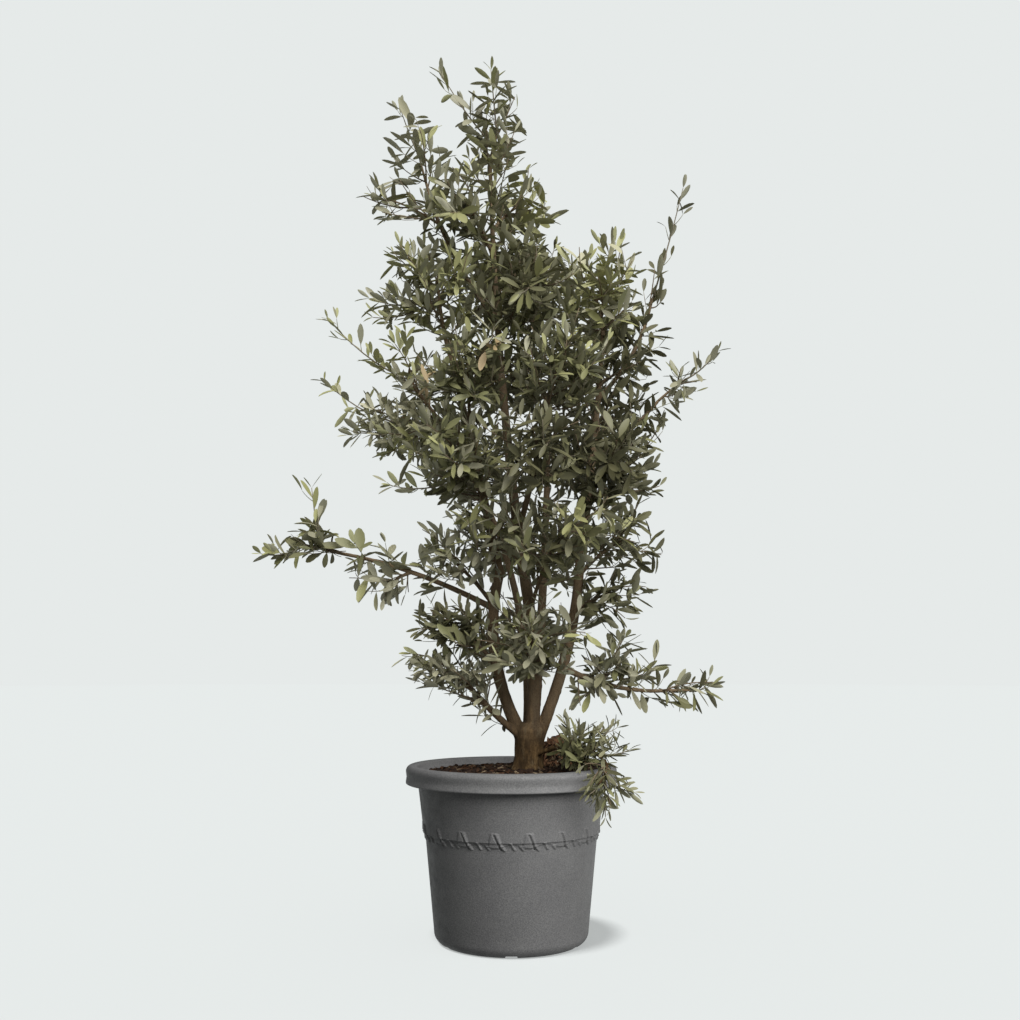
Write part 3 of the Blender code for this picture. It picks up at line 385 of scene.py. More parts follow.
def belt_relief(across, rise):
    """Metres added to the lower wall's radius at a place on the belt.

    across is measured from a tab's middle, rise from the ledge.
    """
    half_way = math.pi * BELT_RADIUS / TABS
    nearest = np.where(across > 0, across - half_way, across + half_way)
    tab = strip(across, rise, (0.0020, 0.0205), (-0.0010, 0.0095), -0.014, 0.026)
    groove = strip(across, rise, (0.0150, 0.0024), (-0.0030, 0.0020), -0.0175, 0.0235)
    cord = strip(across, rise, (0.0200, 0.0024), (0.0020, 0.0020), -0.0165, 0.0240)
    hem_low = -0.0075 - 0.0045 * np.cos(across / half_way * math.pi)
    hem = soft_step(rise - hem_low, SOFT_EDGE) * soft_step(0.0010 - rise, SOFT_EDGE)
    tooth = strip(nearest, rise, (0.0072, 0.0030), (-0.0045, 0.0030), -0.0175, 0.0015)
    point = strip(across, rise, (0.0260, 0.0022), (0.0175, 0.0050), -0.0200, -0.006)
    left_point = strip(across, rise, (-0.0150, 0.0020), (-0.0230, 0.0050), -0.0185, -0.007)
    ledge = (SKIRT_RADIUS - BELT_RADIUS) * soft_step(rise - 0.0005, 0.0018)
    lift = ledge + 0.0022 * tab - 0.0030 * groove + 0.0016 * cord
    lift += (0.0022 * hem + 0.0036 * tooth * (1.0 - tab)) * (rise < 0.004)
    return lift + 0.0034 * np.maximum(point, left_point) * (1.0 - 0.7 * tab)


def pot_points():
    """Every point of the pot: the profile turned round, with belt and notches worked in."""
    profile = pot_profile()
    angle = ring_angles(POT_COLUMNS)
    radius = np.repeat(profile[:, :1], POT_COLUMNS, axis=1)
    level = np.repeat(profile[:, 1:], POT_COLUMNS, axis=1)
    first = int(np.argmax(profile[:, 1] > BELT_HEIGHT - BELT_BELOW - 1e-4))
    rows = slice(first, first + BELT_ROWS)
    period = 2.0 * math.pi / TABS
    turn = (angle - math.radians(TAB_FIRST) + 0.5 * period) % period - 0.5 * period
    radius[rows] += belt_relief(turn * BELT_RADIUS, level[rows] - BELT_HEIGHT)
    step = 2.0 * math.pi / NOTCHES
    away = np.abs((angle + 0.5 * step) % step - 0.5 * step) * BASE_RADIUS
    notch = NOTCH_HEIGHT * soft_step(NOTCH_HALF - away, 0.0025)
    foot = (profile[:, 0] > NOTCH_INNER) & (np.arange(len(profile)) < first)
    level[foot] = np.maximum(level[foot], notch)
    wobble = 0.0006 * np.sin(2 * angle + 0.6) + 0.0004 * np.sin(3 * angle + 2.0)
    radius *= 1.0 + wobble * (level / POT_HEIGHT)
    return np.stack([radius * np.sin(angle), -radius * np.cos(angle), level], axis=-1)


# %% Build the pot
def build_pot():
    """The grid of points as one closed shell: a fan of triangles closes each middle."""
    grid = pot_points()
    points = grid.reshape(-1, 3)
    middles = np.array([[0.0, 0.0, 0.0], [0.0, 0.0, POT_FLOOR]])
    return new_piece("pot_shell", np.concatenate([points, middles]),
                     [grid_faces(len(grid), POT_COLUMNS),
                      end_fans(len(grid), POT_COLUMNS, len(points))],
                     [POT_PLASTIC], nodes=["pot"])


pot = build_pot()

# %% [markdown]
# ## Potting mix and bark chips
# The pot is filled to a finger's breadth under the rim, a little higher in the middle, with
# a heap of mulch beside the trunk. A disc of rings around the trunk's seat gives the ground,
# and noise makes it crumbly. On it lie loose chips of bark: one irregular six-sided slab,
# stretched and turned differently more than a thousand times, at twenty triangles each.

# %% The finish of the mix and of the chips
SOIL_LEVEL = 0.452
SOIL_RISE = 0.016
MOUND = (0.140, 0.074)
MOUND_RISE = 0.085
MOUND_SPREAD = (0.078, 0.062)
SEAT_RADIUS = 0.060
FOOT = np.array([0.045, 0.0, SOIL_LEVEL + SOIL_RISE])
FORK = np.array([0.056, 0.0, 0.598])
GAP = 0.0003                      # between faces that would otherwise lie in one


def earth(name, dark, middle, pale, grain):
    """Crumbly brown: three colours over noise, matt, with a coarse and a fine bump."""
    material, tree, shader = finish(name, middle, 0.92, 0.25)
    colour = ramp(tree, noise(tree, grain, 4.0, roughness=0.6),
                  [(0.34, dark), (0.52, middle), (0.70, pale)])
    tree.links.new(colour, shader.inputs["Base Color"])
    tree.links.new(spread(tree, noise(tree, grain * 2.0), 0.80, 0.98),
                   shader.inputs["Roughness"])
    coarse = relief(tree, shader, noise(tree, grain * 1.5, 5.0), 0.004, 0.6)
    relief(tree, shader, noise(tree, grain * 8.0, 2.0, (1.0, 1.0, 0.3)), 0.001, 0.6, coarse)
    return material


MIX = earth("potting_mix", (0.006, 0.003, 0.002), (0.015, 0.008, 0.004),
            (0.032, 0.018, 0.010), 90.0)
CHIP_DARK = earth("dark_bark_chip", (0.009, 0.005, 0.003), (0.023, 0.011, 0.006),
                  (0.044, 0.023, 0.012), 60.0)
CHIP_RED = earth("red_bark_chip", (0.028, 0.012, 0.005), (0.064, 0.029, 0.013),
                 (0.105, 0.054, 0.027), 60.0)
# Fresh chips for the heap: fresh mulch, made paler still as painted light on a heap that the
# leaves shade.
CHIP_FRESH_PAINTED_LIGHT = earth("fresh_bark_chip_painted_light", (0.110, 0.052, 0.026), (0.225, 0.117, 0.060),
                   (0.350, 0.205, 0.118), 60.0)
CHIP_PALE = earth("pale_bark_chip", (0.080, 0.050, 0.027), (0.160, 0.112, 0.066),
                  (0.280, 0.220, 0.145), 60.0)


# %% The ground
def soil_height(x, y):
    """A low dome, a mulch heap as a bell, and the trunk's flat seat."""
    dome = SOIL_LEVEL + SOIL_RISE * (1.0 - (np.hypot(x, y) / RIM_INNER) ** 2)
    away = np.hypot((x - MOUND[0]) / MOUND_SPREAD[0], (y - MOUND[1]) / MOUND_SPREAD[1])
    heap = dome + MOUND_RISE * np.exp(-away ** 2)
    seat = np.hypot(x - FOOT[0], y - FOOT[1]) / SEAT_RADIUS
    blend = np.clip((seat - 1.01) / 0.35, 0.0, 1.0)
    return (1.0 - blend) * (FOOT[2] - GAP) + blend * heap


def crumbs(x, y):
    """Uneven ground: three sizes of noise, faded out at the trunk's seat."""
    flat = np.stack([x, y, np.zeros_like(x)], axis=-1).reshape(-1, 3)
    rough = sum(size * lattice_noise(flat / grain, 5 + k) for k, (size, grain) in
                enumerate(((0.0030, 0.030), (0.0022, 0.011), (0.0012, 0.005))))
    seat = np.hypot(x - FOOT[0], y - FOOT[1]) / SEAT_RADIUS
    return rough.reshape(x.shape) * np.clip((seat - 0.9) / 0.3, 0.0, 1.0)


def build_soil():
    """Rings that narrow from the pot's wall to the seat, closed by a plain tapering plug."""
    sides, inner = 180, RIM_INNER - 0.010
    angle = ring_angles(sides)
    part = np.linspace(0.0, 0.97, 64)[:, None]
    reach = inner - 0.0012 + part * (0.012 - inner)
    x = reach * np.sin(angle) + part * FOOT[0]
    y = -reach * np.cos(angle) + part * FOOT[1]
    top = np.stack([x, y, soil_height(x, y) + crumbs(x, y)], axis=-1)
    plug = np.array([(BASE_RADIUS - BASE_CORNER - 0.006, POT_FLOOR + GAP),
                     (BASE_RADIUS - WALL - 0.002, BASE_CORNER + 0.001),
                     (BELT_RADIUS - WALL - 0.002, BELT_HEIGHT - 0.004),
                     (inner - 0.0016, POT_HEIGHT - RIM_FACE)])
    low = np.stack([plug[:, :1] * np.sin(angle), -plug[:, :1] * np.cos(angle),
                    np.repeat(plug[:, 1:], sides, axis=1)], axis=-1)
    grid = np.concatenate([low, top])
    middles = [[0.0, 0.0, POT_FLOOR + GAP], [FOOT[0], FOOT[1], FOOT[2] - GAP]]
    return new_piece("potting_soil", np.concatenate([grid.reshape(-1, 3), middles]),
                     [grid_faces(len(grid), sides), end_fans(len(grid), sides, sides * len(grid))],
                     [MIX], nodes=["growing_medium"])


soil = build_soil()


# %% Loose chips on the ground
CHIP_SEED = 41
CHIPS = 1900
HEAP_SHARE = 0.36                 # of the chips, thrown on the heap
HEAP_SPREAD = 0.045
CHIP_SIDES = 6
CHIP_LENGTHS = (0.005, 0.015)     # half of it: from the middle to a corner
CHIP_WIDTHS = (0.35, 0.75)        # of the length
CHIP_THICKNESS = (0.0010, 0.0028)


def scatter_places(count, rng):
    """Places on the ground by seeded chance, crowded on the heap, off the trunk's seat."""
    spread_out = rng.uniform(0.0, 1.0, (count, 2))
    reach = (RIM_INNER - 0.020) * np.sqrt(spread_out[:, 0])
    turn = 2.0 * math.pi * spread_out[:, 1]
    x, y = reach * np.cos(turn), reach * np.sin(turn)
    heap = rng.uniform(size=count) < HEAP_SHARE
    x[heap] = MOUND[0] + rng.normal(0.0, HEAP_SPREAD, heap.sum())
    y[heap] = MOUND[1] + rng.normal(0.0, HEAP_SPREAD, heap.sum())
    inside = np.hypot(x, y) < RIM_INNER - 0.022
    off_seat = np.hypot(x - FOOT[0], y - FOOT[1]) > 0.062
    keep = inside & off_seat
    return x[keep], y[keep]


def ground_slope(x, y):
    """Upward normal of the ground, from heights a few millimetres apart."""
    step = 0.004
    east = soil_height(x + step, y) - soil_height(x - step, y)
    north = soil_height(x, y + step) - soil_height(x, y - step)
    return unit(np.stack([-east, -north, np.full_like(x, 2.0 * step)], axis=1))


def build_chips():
    """Slabs: two uneven hexagons, one over the other, with a belt of faces between."""
    rng = np.random.default_rng(CHIP_SEED)
    x, y = scatter_places(CHIPS, rng)
    count = len(x)
    up = unit(ground_slope(x, y) + rng.normal(0.0, 0.28, (count, 3)))
    turn = rng.uniform(0.0, 2.0 * math.pi, count)
    along = unit(np.cross(up, np.stack([np.cos(turn), np.sin(turn), 0.0 * turn], axis=1)))
    across = np.cross(up, along)
    length = rng.uniform(*CHIP_LENGTHS, count)
    size = np.stack([length, length * rng.uniform(*CHIP_WIDTHS, count),
                     rng.uniform(*CHIP_THICKNESS, count)], axis=1)
    corner, corners = ring_angles(CHIP_SIDES), (count, 2, CHIP_SIDES)
    reach = rng.uniform(0.72, 1.12, corners) * np.array([0.88, 1.0])[:, None]
    flat = np.stack([reach * np.cos(corner), reach * np.sin(corner)], axis=-1)
    level = np.array([-1.0, 1.0])[None, :, None] + rng.uniform(-0.5, 0.5, corners)
    centre = np.stack([x, y, soil_height(x, y) + 0.0022 + 0.4 * size[:, 2]], axis=1)
    points = (centre[:, None, None]
              + (flat[..., :1] * size[:, None, None, :1]) * along[:, None, None]
              + (flat[..., 1:] * size[:, None, None, 1:2]) * across[:, None, None]
              + (level[..., None] * size[:, None, None, 2:]) * up[:, None, None])
    i, up_one = np.arange(CHIP_SIDES), CHIP_SIDES
    j = (i + 1) % CHIP_SIDES
    belt = np.concatenate([np.stack([i, j, up_one + j], 1),
                           np.stack([i, up_one + j, up_one + i], 1)])
    fan = np.arange(1, CHIP_SIDES - 1)
    lids = np.concatenate([np.stack([0 * fan, fan + 1, fan], 1),
                           np.stack([0 * fan, fan, fan + 1], 1) + up_one])
    one = np.concatenate([belt, lids])
    faces = one[None] + 2 * CHIP_SIDES * np.arange(count)[:, None, None]
    kind = rng.choice(3, count, p=(0.62, 0.29, 0.09))
    # Fresh mulch and painted light: most chips on the heap get the pale fresh colour, which
    # lightens the shaded heap.
    on_heap_painted_light = np.hypot(x - MOUND[0], y - MOUND[1]) < 0.085
    kind[on_heap_painted_light & (kind < 2) & (rng.uniform(size=count) < 0.75)] = 3
    return new_piece("bark_chips", points.reshape(-1, 3), [faces.reshape(-1, 3)],
                     [CHIP_DARK, CHIP_RED, CHIP_PALE, CHIP_FRESH_PAINTED_LIGHT],
                     choice=np.repeat(kind, len(one)), smooth=False)


build_chips()

# %% [markdown]
# ## The limbs' paths
# Every limb is a bowed line: straight from its start to its end, pushed aside at its middle.
# The table says which limb carries it, where it leaves that limb, its end, its bow, and its
# radius at both ends. It is the solids' own, except that the back stem bows less, to leave
# the gap beside the centre stem open. A path starts on the axis of its carrier, so that the
# skin drawn over all of them later has no open joints.

# %% The limbs
LIMBS = {
    "left_stem": ("trunk", (0.040, 0.000, 0.540), (-0.036, -0.020, 1.020),
                  (-0.047, 0.000, 0.000), (0.0185, 0.0150)),
    "centre_stem": ("trunk", (0.055, -0.005, 0.530), (0.029, -0.050, 1.067),
                    (0.020, -0.006, 0.000), (0.0200, 0.0160)),
    "right_stem": ("trunk", (0.065, 0.000, 0.530), (0.201, 0.000, 1.067),
                   (0.027, 0.000, 0.000), (0.0175, 0.0140)),
    "back_stem": ("trunk", (0.060, 0.010, 0.530), (0.120, 0.250, 1.600),
                  (0.010, 0.000, 0.000), (0.0165, 0.0070)),
    "back_left_stem": ("trunk", (0.045, 0.010, 0.530), (-0.110, 0.250, 1.340),
                       (0.055, 0.000, 0.000), (0.0155, 0.0070)),
    "low_left_limb": ("trunk", (0.045, -0.010, 0.545), (-0.100, -0.045, 0.680),
                      (0.000, 0.000, -0.006), (0.0110, 0.0075)),
    "spill_limb": ("trunk", (0.050, -0.005, 0.500), (0.255, -0.215, 0.500),
                   (0.020, 0.000, 0.040), (0.0075, 0.0045)),
    "upper_left_stem": ("left_stem", "tip", (-0.200, -0.050, 1.740),
                        (0.008, 0.000, 0.000), (0.0145, 0.0065)),
    "upper_centre_stem": ("centre_stem", "tip", (-0.065, 0.000, 2.300),
                          (-0.016, -0.010, 0.000), (0.0155, 0.0055)),
    "upper_right_stem": ("right_stem", "tip", (0.276, -0.010, 1.740),
                         (0.006, 0.000, 0.000), (0.0135, 0.0070)),
    "left_arm": ("left_stem", 0.80, (-0.500, -0.020, 1.085),
                 (0.000, 0.000, 0.020), (0.0090, 0.0050)),
    "low_right_arm": ("right_stem", 0.42, (0.450, -0.030, 0.690),
                      (0.000, 0.000, -0.022), (0.0085, 0.0050)),
    "right_arm": ("upper_right_stem", 0.45, (0.440, 0.000, 1.545),
                  (0.000, 0.000, -0.015), (0.0075, 0.0045)),
    "spire_arm": ("upper_right_stem", 0.72, (0.405, 0.000, 1.780),
                  (0.012, 0.000, -0.010), (0.0075, 0.0050)),
    "left_shoulder_arm": ("upper_left_stem", 0.46, (-0.300, -0.030, 1.600),
                          (0.000, 0.000, -0.012), (0.0085, 0.0055)),
    "top_left_arm": ("upper_centre_stem", 0.58, (-0.240, -0.020, 2.150),
                     (-0.015, 0.000, -0.010), (0.0080, 0.0050)),
    "front_arm": ("upper_centre_stem", 0.06, (0.100, -0.250, 1.470),
                  (0.000, -0.040, -0.020), (0.0095, 0.0055)),
}
LOWER = ["left_stem", "centre_stem", "right_stem", "back_stem", "back_left_stem",
         "low_left_limb", "spill_limb"]
UPPER = [name for name in LIMBS if name not in LOWER]


def path(start, end, bow):
    """A bowed line as three vectors."""
    return np.asarray(start, float), np.asarray(end, float), np.asarray(bow, float)


def bowed(start, end, bow, t):
    """start + t (end - start) + 4 t (1 - t) bow, for parts t of the way."""
    return start + t * (end - start) + 4.0 * t * (1.0 - t) * bow


def bowed_way(start, end, bow, t):
    """Unit direction there: the rate at which the point moves with t."""
    return unit((end - start) + 4.0 * (1.0 - 2.0 * t) * bow)


def point_on(line, t):
    """Points (N, 3) of one line at the parts t of its way."""
    return bowed(*line, np.atleast_1d(t)[:, None])


def heading(line, t):
    """Unit direction of one line at one part of its way."""
    return bowed_way(*line, t)


def line_length(line):
    """Length of the line, summed over twenty short pieces."""
    steps = np.diff(point_on(line, np.linspace(0.0, 1.0, 21)), axis=0)
    return float(np.linalg.norm(steps, axis=1).sum())


def beads(line, radii):
    """Points and radii 10 mm apart on a limb drawn in 200 mm pieces, as the solids are."""
    rings = np.linspace(0.0, 1.0, max(3, 1 + round(line_length(line) / 0.20)))
    corners = point_on(line, rings)
    t = np.linspace(0.0, 1.0, max(4, int(line_length(line) / 0.01)))
    places = np.stack([np.interp(t, rings, corners[:, k]) for k in range(3)], axis=1)
    return places, radii[0] + (radii[1] - radii[0]) * t


def tip_start(line):
    """A point just beyond a limb's end, and the way the limb heads there."""
    way = heading(line, 1.0)
    return line[1] + GAP * way, way


def limb_lines():
    """The path and the end radii of every limb, carriers first."""
    lines = {}
    for name, (carrier, where, end, bow, radii) in LIMBS.items():
        if carrier == "trunk":
            start = where
        elif where == "tip":
            start = tip_start(lines[carrier][0])[0]
        else:
            start = point_on(lines[carrier][0], where)[0]
        lines[name] = (path(start, end, bow), radii)
    return lines


lines = limb_lines()
print("limbs:", len(lines), "length in all:",
      round(sum(line_length(line) for line, _ in lines.values()), 2), "m")

# %% [markdown]
# ## Olive bark
# The bark of a young olive is brown and warm on the old trunk, with damp dark patches and
# pale scurf, and it turns grey on the younger wood higher up, where it is also painted
# paler as painted light on stems that the crown shades. Long shallow ridges and small
# pores mark it. The colour runs over noise that is stretched along Z, because the stems
# stand nearly upright, and the bump of the ridges is stretched the same.


# %% The bark's finish
def olive_bark():
    """Warm brown over long ridges, damp and scurfy patches, grey and painted paler higher up, fine
    pores.
    """
    material, tree, shader = finish("olive_bark", (0.120, 0.074, 0.030), 0.86, 0.18)
    along = noise(tree, 90.0, 4.0, (1.0, 1.0, 0.12), 0.6)
    base = ramp(tree, along, [(0.28, (0.043, 0.025, 0.011)), (0.48, (0.104, 0.064, 0.028)),
                              (0.70, (0.206, 0.132, 0.060))])
    damp = ramp(tree, noise(tree, 24.0, 4.0, (1.0, 1.0, 0.55), 0.6),
                [(0.40, (0.42, 0.40, 0.38)), (0.60, (1.14, 1.12, 1.08))])
    base = blend_colours(tree, "MULTIPLY", 1.0, base, damp)
    # Grey of the younger wood, and painted light: the upper stems, shaded by the crown, are made
    # paler.
    grey = spread(tree, height(tree), 0.0, 0.66, 0.53, 0.70)
    base = blend_colours(tree, "MIX", grey, base, (0.296, 0.218, 0.138))
    scurf = spread(tree, noise(tree, 34.0, 5.0, (1.0, 1.0, 0.4), 0.65), 0.0, 0.50, 0.54, 0.76)
    colour = blend_colours(tree, "MIX", scurf, base, (0.260, 0.210, 0.130))
    pores = ramp(tree, noise(tree, 420.0, 2.0), [(0.30, (0.55, 0.52, 0.50)),
                                                 (0.50, (1.0, 1.0, 1.0))])
    colour = blend_colours(tree, "MULTIPLY", 1.0, colour, pores)
    tree.links.new(colour, shader.inputs["Base Color"])
    tree.links.new(spread(tree, along, 0.78, 0.94), shader.inputs["Roughness"])
    ridges = relief(tree, shader, along, 0.004, 0.75)
    relief(tree, shader, noise(tree, 380.0, 3.0, (1.0, 1.0, 0.4)), 0.0010, 0.6, ridges)
    return material


BARK = olive_bark()
print("finish:", BARK.name)

# %% [markdown]
# ## A skin over trunk and limbs
# Where stems part, real bark runs from one into the next without a seam. Tubes that simply
# pass through each other would show a crease. So the tubes are only a core: they are fused
# by a voxel remesh, eased a little, and then every point of the new surface is moved along
# its normal by the relief of the bark: long ridges, swellings and small knots.


# %% Tubes for many paths at once
def tubes(centres, radii, sides, flutes=0.0):
    """Closed tubes: centres (N, R, 3) and radii (N, R) carry a ring of points each.

    A ring is centre + radius (cos a across + sin a other), square to the path.
    """
    centres, radii = np.asarray(centres, float), np.asarray(radii, float)
    count, rings = radii.shape
    way = unit(np.gradient(centres, axis=1))
    overall = centres[:, -1] - centres[:, 0]
    aside = np.eye(3)[np.argmin(np.abs(overall), axis=1)]
    across = unit(np.cross(way, aside[:, None]))
    other = np.cross(way, across)
    a = ring_angles(sides)
    round_about = (np.cos(a)[:, None] * across[:, :, None]
                   + np.sin(a)[:, None] * other[:, :, None])
    wide = radii[:, :, None] * (1.0 + flutes * np.cos(5.0 * a + 3.0))
    body = centres[:, :, None] + wide[..., None] * round_about
    ends = np.stack([centres[:, 0], centres[:, -1]], axis=1)
    points = np.concatenate([body.reshape(count, -1, 3), ends], axis=1)
    base = (rings * sides + 2) * np.arange(count)[:, None, None]
    quads = (grid_faces(rings, sides)[None] + base).reshape(-1, 4)
    caps = (end_fans(rings, sides, rings * sides)[None] + base).reshape(-1, 3)
    return points.reshape(-1, 3), quads, caps


def flared(line, radii, step, flare):
    """Centres and radii along a limb, wider by the flare where it leaves its carrier."""
    length = line_length(line)
    t = np.linspace(0.0, 1.0, max(5, int(length / step)))
    size = radii[0] + (radii[1] - radii[0]) * t
    size = size * (1.0 + flare * np.exp(-t * length / (2.2 * radii[0])))
    return point_on(line, t), size


# %% The fused core
def fuse(name, parts, voxel):
    """One closed surface over several tubes: joined, voxel remeshed, its points read back."""
    points, quads, caps, shift = [], [], [], 0
    for part_points, part_quads, part_caps in parts:
        points.append(part_points)
        quads.append(part_quads + shift)
        caps.append(part_caps + shift)
        shift += len(part_points)
    mesh = bpy.data.meshes.new(name)
    mesh.from_pydata(np.concatenate(points), [],
                     np.concatenate(quads).tolist() + np.concatenate(caps).tolist())
    core = placed(name, mesh)
    remesh = core.modifiers.new("fuse", "REMESH")
    remesh.mode = "VOXEL"
    remesh.voxel_size = voxel
    ease = core.modifiers.new("ease", "SMOOTH")
    ease.factor, ease.iterations = 0.5, 4
    bpy.context.view_layer.update()
    fused = bpy.data.meshes.new_from_object(
        core.evaluated_get(bpy.context.evaluated_depsgraph_get()))
    places, normals = (np.empty(len(fused.vertices) * 3, np.float32) for _ in range(2))
    fused.vertices.foreach_get("co", places)
    fused.vertices.foreach_get("normal", normals)
    corners = np.empty(len(fused.loops), np.int32)
    fused.loops.foreach_get("vertex_index", corners)
    bpy.data.objects.remove(core, do_unlink=True)
    bpy.data.meshes.remove(fused)
    return places.reshape(-1, 3).astype(float), normals.reshape(-1, 3), corners.reshape(-1, 4)


def bark_relief(places):
    """Metres of relief: long ridges, slow swellings and small knots, from stretched noise."""
    upright = places * (1.0, 1.0, 0.14)
    ridges = 1.0 - 2.0 * np.abs(lattice_noise(upright / 0.0075, 11))
    fine = lattice_noise(places * (1.0, 1.0, 0.25) / 0.0032, 12)
    swell = lattice_noise(places / 0.045, 13)
    knots = np.clip(lattice_noise(places / 0.018, 14) - 0.52, 0.0, 1.0)
    return 0.0007 * ridges + 0.0003 * fine + 0.0011 * swell + 0.0050 * knots


def bark_piece(name, parts, voxel, nodes):
    """The fused core with the bark's relief, less of it higher up, where limbs are thin."""
    places, normals, quads = fuse(name + "_core", parts, voxel)
    thick = np.clip((1.15 - places[:, 2]) / 0.7, 0.35, 1.0)
    moved = places + (bark_relief(places) * thick)[:, None] * normals
    return new_piece(name, moved, [quads], [BARK], nodes=nodes)


# %% The trunk with its root flare, and the limbs
TRUNK_RINGS = np.array([(0.00, 0.0470), (0.10, 0.0425), (0.28, 0.0390),
                        (0.60, 0.0415), (0.85, 0.0470), (1.00, 0.0360)])
TRUNK_SIDES = 40                  # and as many rings
LIMB_SIDES = 16
LIMB_STEP = 0.012
LIMB_FLARE = 0.30


def trunk_core():
    """Rings from foot to fork, lobed towards the foot, where five roots swell."""
    part = np.linspace(0.0, 1.0, TRUNK_SIDES)
    radius = np.interp(part, TRUNK_RINGS[:, 0], TRUNK_RINGS[:, 1])
    a = ring_angles(TRUNK_SIDES)
    lobes = 0.12 * np.exp(-part / 0.12)[:, None] * np.cos(5.0 * a)
    waist = 0.05 * np.cos(2.0 * a + 0.5) * (1.0 - part[:, None])
    reach = radius[:, None] * (1.0 + lobes + waist)
    centre = FOOT + part[:, None] * (FORK - FOOT)
    points = np.stack([centre[:, :1] + reach * np.cos(a), centre[:, 1:2] + reach * np.sin(a),
                       np.repeat(centre[:, 2:], TRUNK_SIDES, axis=1)], axis=-1).reshape(-1, 3)
    ends = np.array([FOOT, FORK + (0.0, 0.0, 0.004)])
    return (np.concatenate([points, ends]), grid_faces(TRUNK_SIDES, TRUNK_SIDES),
            end_fans(TRUNK_SIDES, TRUNK_SIDES, len(points)))


def limb_core(name):
    """The tube of one limb, as the only one of a batch."""
    centres, size = flared(*lines[name], LIMB_STEP, LIMB_FLARE)
    return tubes(centres[None], size[None], LIMB_SIDES)


bark_piece("lower_bark", [trunk_core(), *(limb_core(name) for name in LOWER)],
           voxel=0.0024, nodes=["trunk", *LOWER])
bark_piece("upper_bark", [limb_core(name) for name in UPPER], voxel=0.0021, nodes=UPPER)

# %% [markdown]
# ## The spaces that the leaves fill
# The crown is dealt out into spaces, one for each mass of leaves. A space is an egg shape
# around a centre, and a long shoot brings a narrow space of its own. A place belongs to the
# space whose centre is nearest by that space's own measure. The table of masses is the
# solids' own, so that what grows here reaches as far as they do and leaves the same gaps.
# Two short tables add what the solids leave out: whips that are too fine for them, and how
# far the twigs of a mass have sagged or risen.

